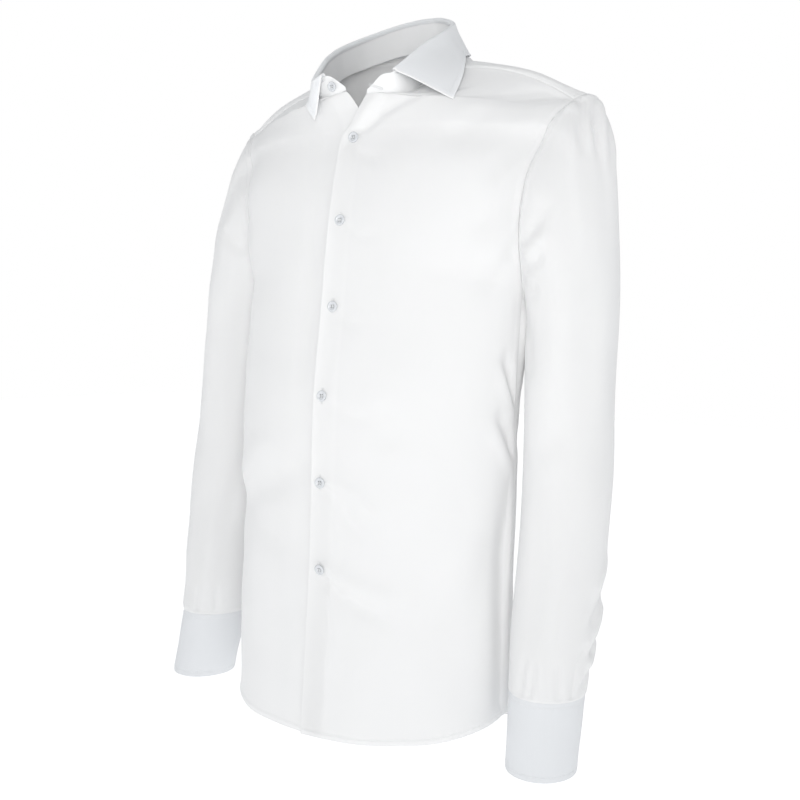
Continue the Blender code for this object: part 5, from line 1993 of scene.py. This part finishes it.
LEFT_FRONT_FOLDS = folds(
    ALONG_THE_CLOTH,
    (56, -55, 30, -72, 16, -94, -38, 7, 10, 6, 5),
    (14, -52, 10, -74, 6, -92, 32, 10, 10, 8, 3),
    (16, -100, 30, -112, 60, -120, -14, 5, 7, 8, 0),
    (18, -183, 40, -196, 75, -200, -12, 5, 7, 8, 0),
    (17, -275, 40, -287, 66, -290, -10, 5, 7, 8, 0),
    (22, -370, 50, -383, 82, -386, -12, 6, 8, 8, 0),
    (72, -362, 84, -390, 96, -418, -30, 18, 14, 0, 0),
    (20, -456, 42, -480, 68, -512, -22, 6, 9, 9, 0),
    (26, -448, 56, -462, 90, -492, 20, 10, 8, 5, 0),
    (20, -547, 44, -566, 106, -590, -30, 6, 8, 10, 0),
    (24, -538, 60, -552, 120, -566, 22, 9, 10, 7, 0),
    (18, -560, 26, -590, 40, -630, -16, 6, 10, 9, 0),
    (203, -305, 216, -330, 232, -358, -50, 6, 8, 0, 10),
    (196, -322, 210, -346, 226, -372, 35, 8, 8, 0, 8),
    (201, -366, 214, -388, 229, -410, -48, 6, 9, 0, 10),
    (190, -380, 206, -404, 224, -430, 30, 9, 10, 0, 8),
    (222, -440, 219, -560, 228, -670, -60, 16, 14, 2, 7),
    (200, -400, 176, -480, 105, -585, 40, 30, 26, 2, 1),
    (212, -460, 190, -540, 150, -640, -30, 22, 24, 3, 0),
    (128, -480, 146, -560, 168, -650, -26, 22, 22, 0, 6),
    (60, -560, 70, -630, 66, -700, 28, 20, 20, 0, 7),
    (110, -620, 116, -670, 112, -715, -24, 14, 16, 0, 10),
    (204, -100, 190, -122, 165, -150, -22, 10, 12, 8, 0),
    (209, -160, 188, -176, 150, -200, -26, 9, 12, 10, 0),
    (213, -200, 192, -226, 160, -262, -28, 10, 14, 10, 0),
    (213, -180, 196, -200, 165, -228, 20, 10, 10, 8, 0),
    (150, -58, 140, -80, 120, -120, -20, 18, 18, 3, 0),
    (105, -46, 135, -50, 172, -58, -22, 6, 8, 0, 3),
    (100, -62, 140, -66, 180, -75, 18, 10, 12, 0, 2),
)
RIGHT_FRONT_FOLDS = folds(
    ALONG_THE_CLOTH,
    (60, -54, 54, -90, 50, -130, -28, 12, 12, 5, 5),
    (46, -110, 43, -200, 41, -300, 38, -420, -40, 14, 20, 3, 2),
    (185, -500, 110, -470, 34, -436, -36, 16, 20, 4, 6),
    (190, -470, 120, -430, 60, -400, 30, 20, 18, 4, 0),
    (180, -480, 110, -506, 40, -538, -32, 16, 18, 5, 5),
    (140, -505, 120, -570, 96, -650, 26, 20, 20, 0, 0),
    (70, -560, 62, -630, 64, -700, -22, 16, 16, 0, 8),
    (128, -262, 122, -330, 116, -400, -18, 20, 20, 0, 0),
    (205, -150, 180, -170, 150, -200, -24, 9, 12, 10, 0),
    (210, -195, 190, -230, 160, -270, -28, 10, 14, 10, 0),
    (205, -320, 218, -345, 232, -365, -42, 7, 8, 0, 10),
    (196, -385, 212, -410, 230, -432, -40, 7, 9, 0, 10),
    (220, -460, 214, -570, 224, -680, -45, 16, 14, 2, 7),
)
BACK_FOLDS = folds(
    ALONG_THE_CLOTH,
    (160, -205, 166, -270, 160, -335, 80, 24, 24, 4, 4),
    (-160, -205, -166, -270, -160, -335, 60, 24, 24, 4, 4),
    (150, -352, 120, -372, 85, -378, -40, 10, 14, 8, 0),
    (-152, -340, -118, -366, -70, -372, -42, 10, 14, 8, 0),
    (155, -405, 110, -425, 60, -422, -36, 10, 13, 8, 0),
    (-155, -398, -112, -430, -50, -436, -40, 11, 14, 8, 0),
    (100, -170, 95, -260, 85, -350, 35, 20, 18, 0, 1),
    (-98, -180, -90, -270, -82, -352, 38, 18, 20, 0, 1),
    (40, -290, 46, -420, 60, -620, -36, 20, 22, 0, 4),
    (-30, -300, -38, -440, -50, -640, -34, 22, 20, 0, 4),
    (0, -400, 4, -520, 0, -690, 40, 22, 24, 0, 6),
    (120, -460, 112, -560, 118, -680, 40, 20, 20, 1, 6),
    (-122, -470, -110, -570, -114, -690, 38, 18, 20, 1, 6),
    (150, -440, 146, -560, 150, -670, -44, 12, 12, 2, 6),
    (-150, -450, -145, -570, -150, -680, -44, 12, 12, 2, 6),
    (185, -150, 140, -150, 90, -130, -30, 10, 14, 9, 0),
    (-186, -155, -142, -160, -95, -145, -32, 10, 14, 9, 0),
    (172, -215, 140, -235, 95, -240, -34, 10, 13, 9, 0),
    (-172, -220, -138, -246, -90, -250, -34, 10, 13, 9, 0),
)
YOKE_FOLDS = folds(
    ALONG_THE_CLOTH,
    (205, 30, 170, 36, 130, 34, -16, 8, 10, 6, 0),
    (200, 55, 160, 60, 110, 70, -18, 8, 12, 6, 0),
    (-205, 34, -165, 38, -120, 36, -16, 8, 10, 6, 0),
    (-198, 58, -160, 64, -105, 72, -18, 8, 12, 6, 0),
)
LEFT_SLEEVE_FOLDS = folds(
    ROUND_THE_ARM,
    (58, -74, 86, -94, 105, -135, -26, 4, 5, 10, 0),
    (46, -62, 72, -90, 84, -130, 26, 5, 5, 9, 0),
    (32, -60, 54, -84, 66, -124, -30, 3, 4, 10, 0),
    (22, -58, 42, -84, 50, -120, 26, 4, 4, 10, 0),
    (14, -58, 30, -86, 36, -128, -34, 3, 4, 10, 0),
    (5, -60, 18, -90, 24, -134, 28, 4, 4, 10, 0),
    (-4, -62, 6, -96, 10, -140, -24, 4, 5, 10, 0),
    (-16, -62, -12, -94, -10, -130, 20, 5, 5, 10, 0),
    (-30, -62, -28, -100, -26, -140, -22, 5, 5, 10, 0),
    (210, -200, 172, -186, 130, -158, -34, 7, 9, 9, 0),
    (220, -214, 178, -206, 144, -188, 26, 8, 8, 8, 0),
    (236, -228, 195, -224, 158, -210, -36, 7, 9, 9, 0),
    (250, -246, 214, -252, 176, -250, -26, 8, 10, 8, 0),
    (260, -276, 230, -300, 210, -350, -30, 9, 12, 6, 0),
    (146, -180, 142, -270, 148, -390, 24, 13, 16, 0, 0),
    (84, -160, 80, -260, 90, -380, -18, 12, 14, 0, 0),
    (30, -200, 36, -300, 44, -420, 22, 12, 14, 0, 0),
    (190, -400, 150, -404, 92, -380, -22, 12, 16, 4, 0),
    (186, -450, 166, -520, 160, -600, -22, 12, 12, 0, 4),
    (120, -460, 110, -540, 114, -610, 20, 14, 14, 0, 2),
    (-30, -520, 6, -536, 36, -552, 28, 8, 8, 6, 0),
    (-40, -548, 0, -566, 30, -584, -40, 6, 7, 9, 0),
    (-40, -566, -4, -586, 20, -600, 42, 7, 6, 9, 0),
    (-44, -582, -10, -602, 24, -606, -52, 5, 6, 10, 0),
    (-40, -600, -6, -616, 16, -624, 34, 7, 7, 9, 0),
    (2, -612, 16, -594, 34, -590, 20, 5, 5, 4, 2),
    (-30, -620, 4, -632, 34, -640, -28, 6, 6, 9, 2),
    (186, -646, 182, -622, 174, -600, -24, 4, 5, 10, 0),
    (158, -646, 153, -624, 150, -604, -22, 4, 4, 10, 0),
    (84, -646, 92, -620, 96, -600, -16, 4, 5, 10, 0),
    (50, -646, 50, -626, 48, -604, -20, 4, 4, 10, 0),
    (56, -612, 30, -600, 10, -590, -18, 5, 6, 2, 6),
    (330, -400, 370, -420, 420, -416, -34, 9, 12, 4, 0),
    (310, -470, 360, -500, 410, -504, -34, 9, 12, 4, 0),
    (390, -200, 396, -290, 380, -380, 30, 14, 14, 0, 0),
    (-110, -200, -100, -320, -90, -440, -26, 14, 14, 0, 0),
)
RIGHT_SLEEVE_FOLDS = folds(
    ROUND_THE_ARM,
    (205, -200, 170, -190, 134, -170, -28, 8, 10, 9, 0),
    (236, -230, 220, -290, 226, -380, -22, 10, 14, 6, 0),
    (140, -180, 134, -300, 148, -430, 22, 14, 14, 0, 0),
    (262, -440, 240, -510, 210, -566, -26, 10, 12, 5, 0),
    (160, -470, 150, -540, 156, -610, -22, 12, 12, 0, 3),
    (210, -520, 200, -570, 202, -620, 20, 10, 10, 0, 3),
    (230, -634, 226, -610, 220, -592, -16, 4, 5, 10, 0),
    (170, -634, 168, -612, 172, -596, -14, 4, 5, 10, 0),
    (90, -634, 92, -610, 98, -590, -16, 4, 5, 10, 0),
    (46, -62, 66, -92, 74, -130, 14, 5, 5, 9, 0),
    (26, -58, 44, -86, 50, -116, -14, 4, 4, 10, 0),
    (6, -60, 16, -90, 20, -126, 16, 4, 4, 10, 0),
    (-14, -62, -10, -96, -8, -136, -18, 5, 5, 10, 0),
    (-30, -540, 10, -556, 50, -552, -30, 8, 9, 8, 0),
    (-36, -575, 4, -592, 40, -592, -34, 7, 8, 8, 0),
    (340, -390, 380, -410, 430, -406, -34, 9, 12, 4, 0),
    (300, -460, 350, -490, 400, -500, -34, 9, 12, 4, 0),
    (386, -210, 390, -300, 376, -390, 30, 14, 14, 0, 0),
    (-106, -210, -98, -320, -92, -430, -26, 14, 14, 0, 0),
)


def main() -> None:
    """Dresses the frame."""
    logging.basicConfig(level=logging.INFO, format="%(name)s: %(message)s")
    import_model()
    collection = bpy.data.collections.new("shirt")
    bpy.context.scene.collection.children.link(collection)
    room = Workroom(
        Poplin("white_poplin_cloth").build(),
        # The cuffs' doubled colour is darker and bluer than the cloth's: painted shade.
        Poplin("cuff_poplin", doubled=(0.755, 0.770, 0.790), relief=0.09, glow=0.2).build(),
        # The leaf's doubled colour is darker and bluer than the cloth's: painted shade. Its paler single colour is left
        # on the leaf's front edges as a painted highlight.
        Poplin("collar_poplin", doubled=(0.800, 0.815, 0.835), relief=0.09, glow=0.75).build(),
        # The band's doubled colour is paler than the cloth's: painted light.
        Poplin("band_poplin", doubled=(0.900, 0.905, 0.910), relief=0.09, glow=0.6).build(),
        Pearl("pale_pearl").build(),
        Thread("white_thread").build(),
        collection,
    )
    sewing = Sewing(room)
    Studio().build()
    fronts = [Front(Side.LEFT, LEFT_FRONT_FOLDS), Front(Side.RIGHT, RIGHT_FRONT_FOLDS)]
    for front in fronts:
        front.build(room, sewing)
    Back(BACK_FOLDS).build(room, sewing)
    Yoke(YOKE_FOLDS).build(room, sewing)
    Sleeve(Side.LEFT, LEFT_SLEEVE_FOLDS, swing=-0.0030, flare=-0.0010).build(room, sewing)
    Sleeve(Side.RIGHT, RIGHT_SLEEVE_FOLDS, swing=0.0020, flare=0.0170, lift=0.0130, outside=0.07,
           drawn_in=0.008).build(room, sewing)
    collar = Collar()
    band = collar.build(room, sewing)
    Buttons().build(room, sewing, fronts[0].panel(), collar, band)


if __name__ == "__main__":
    main()
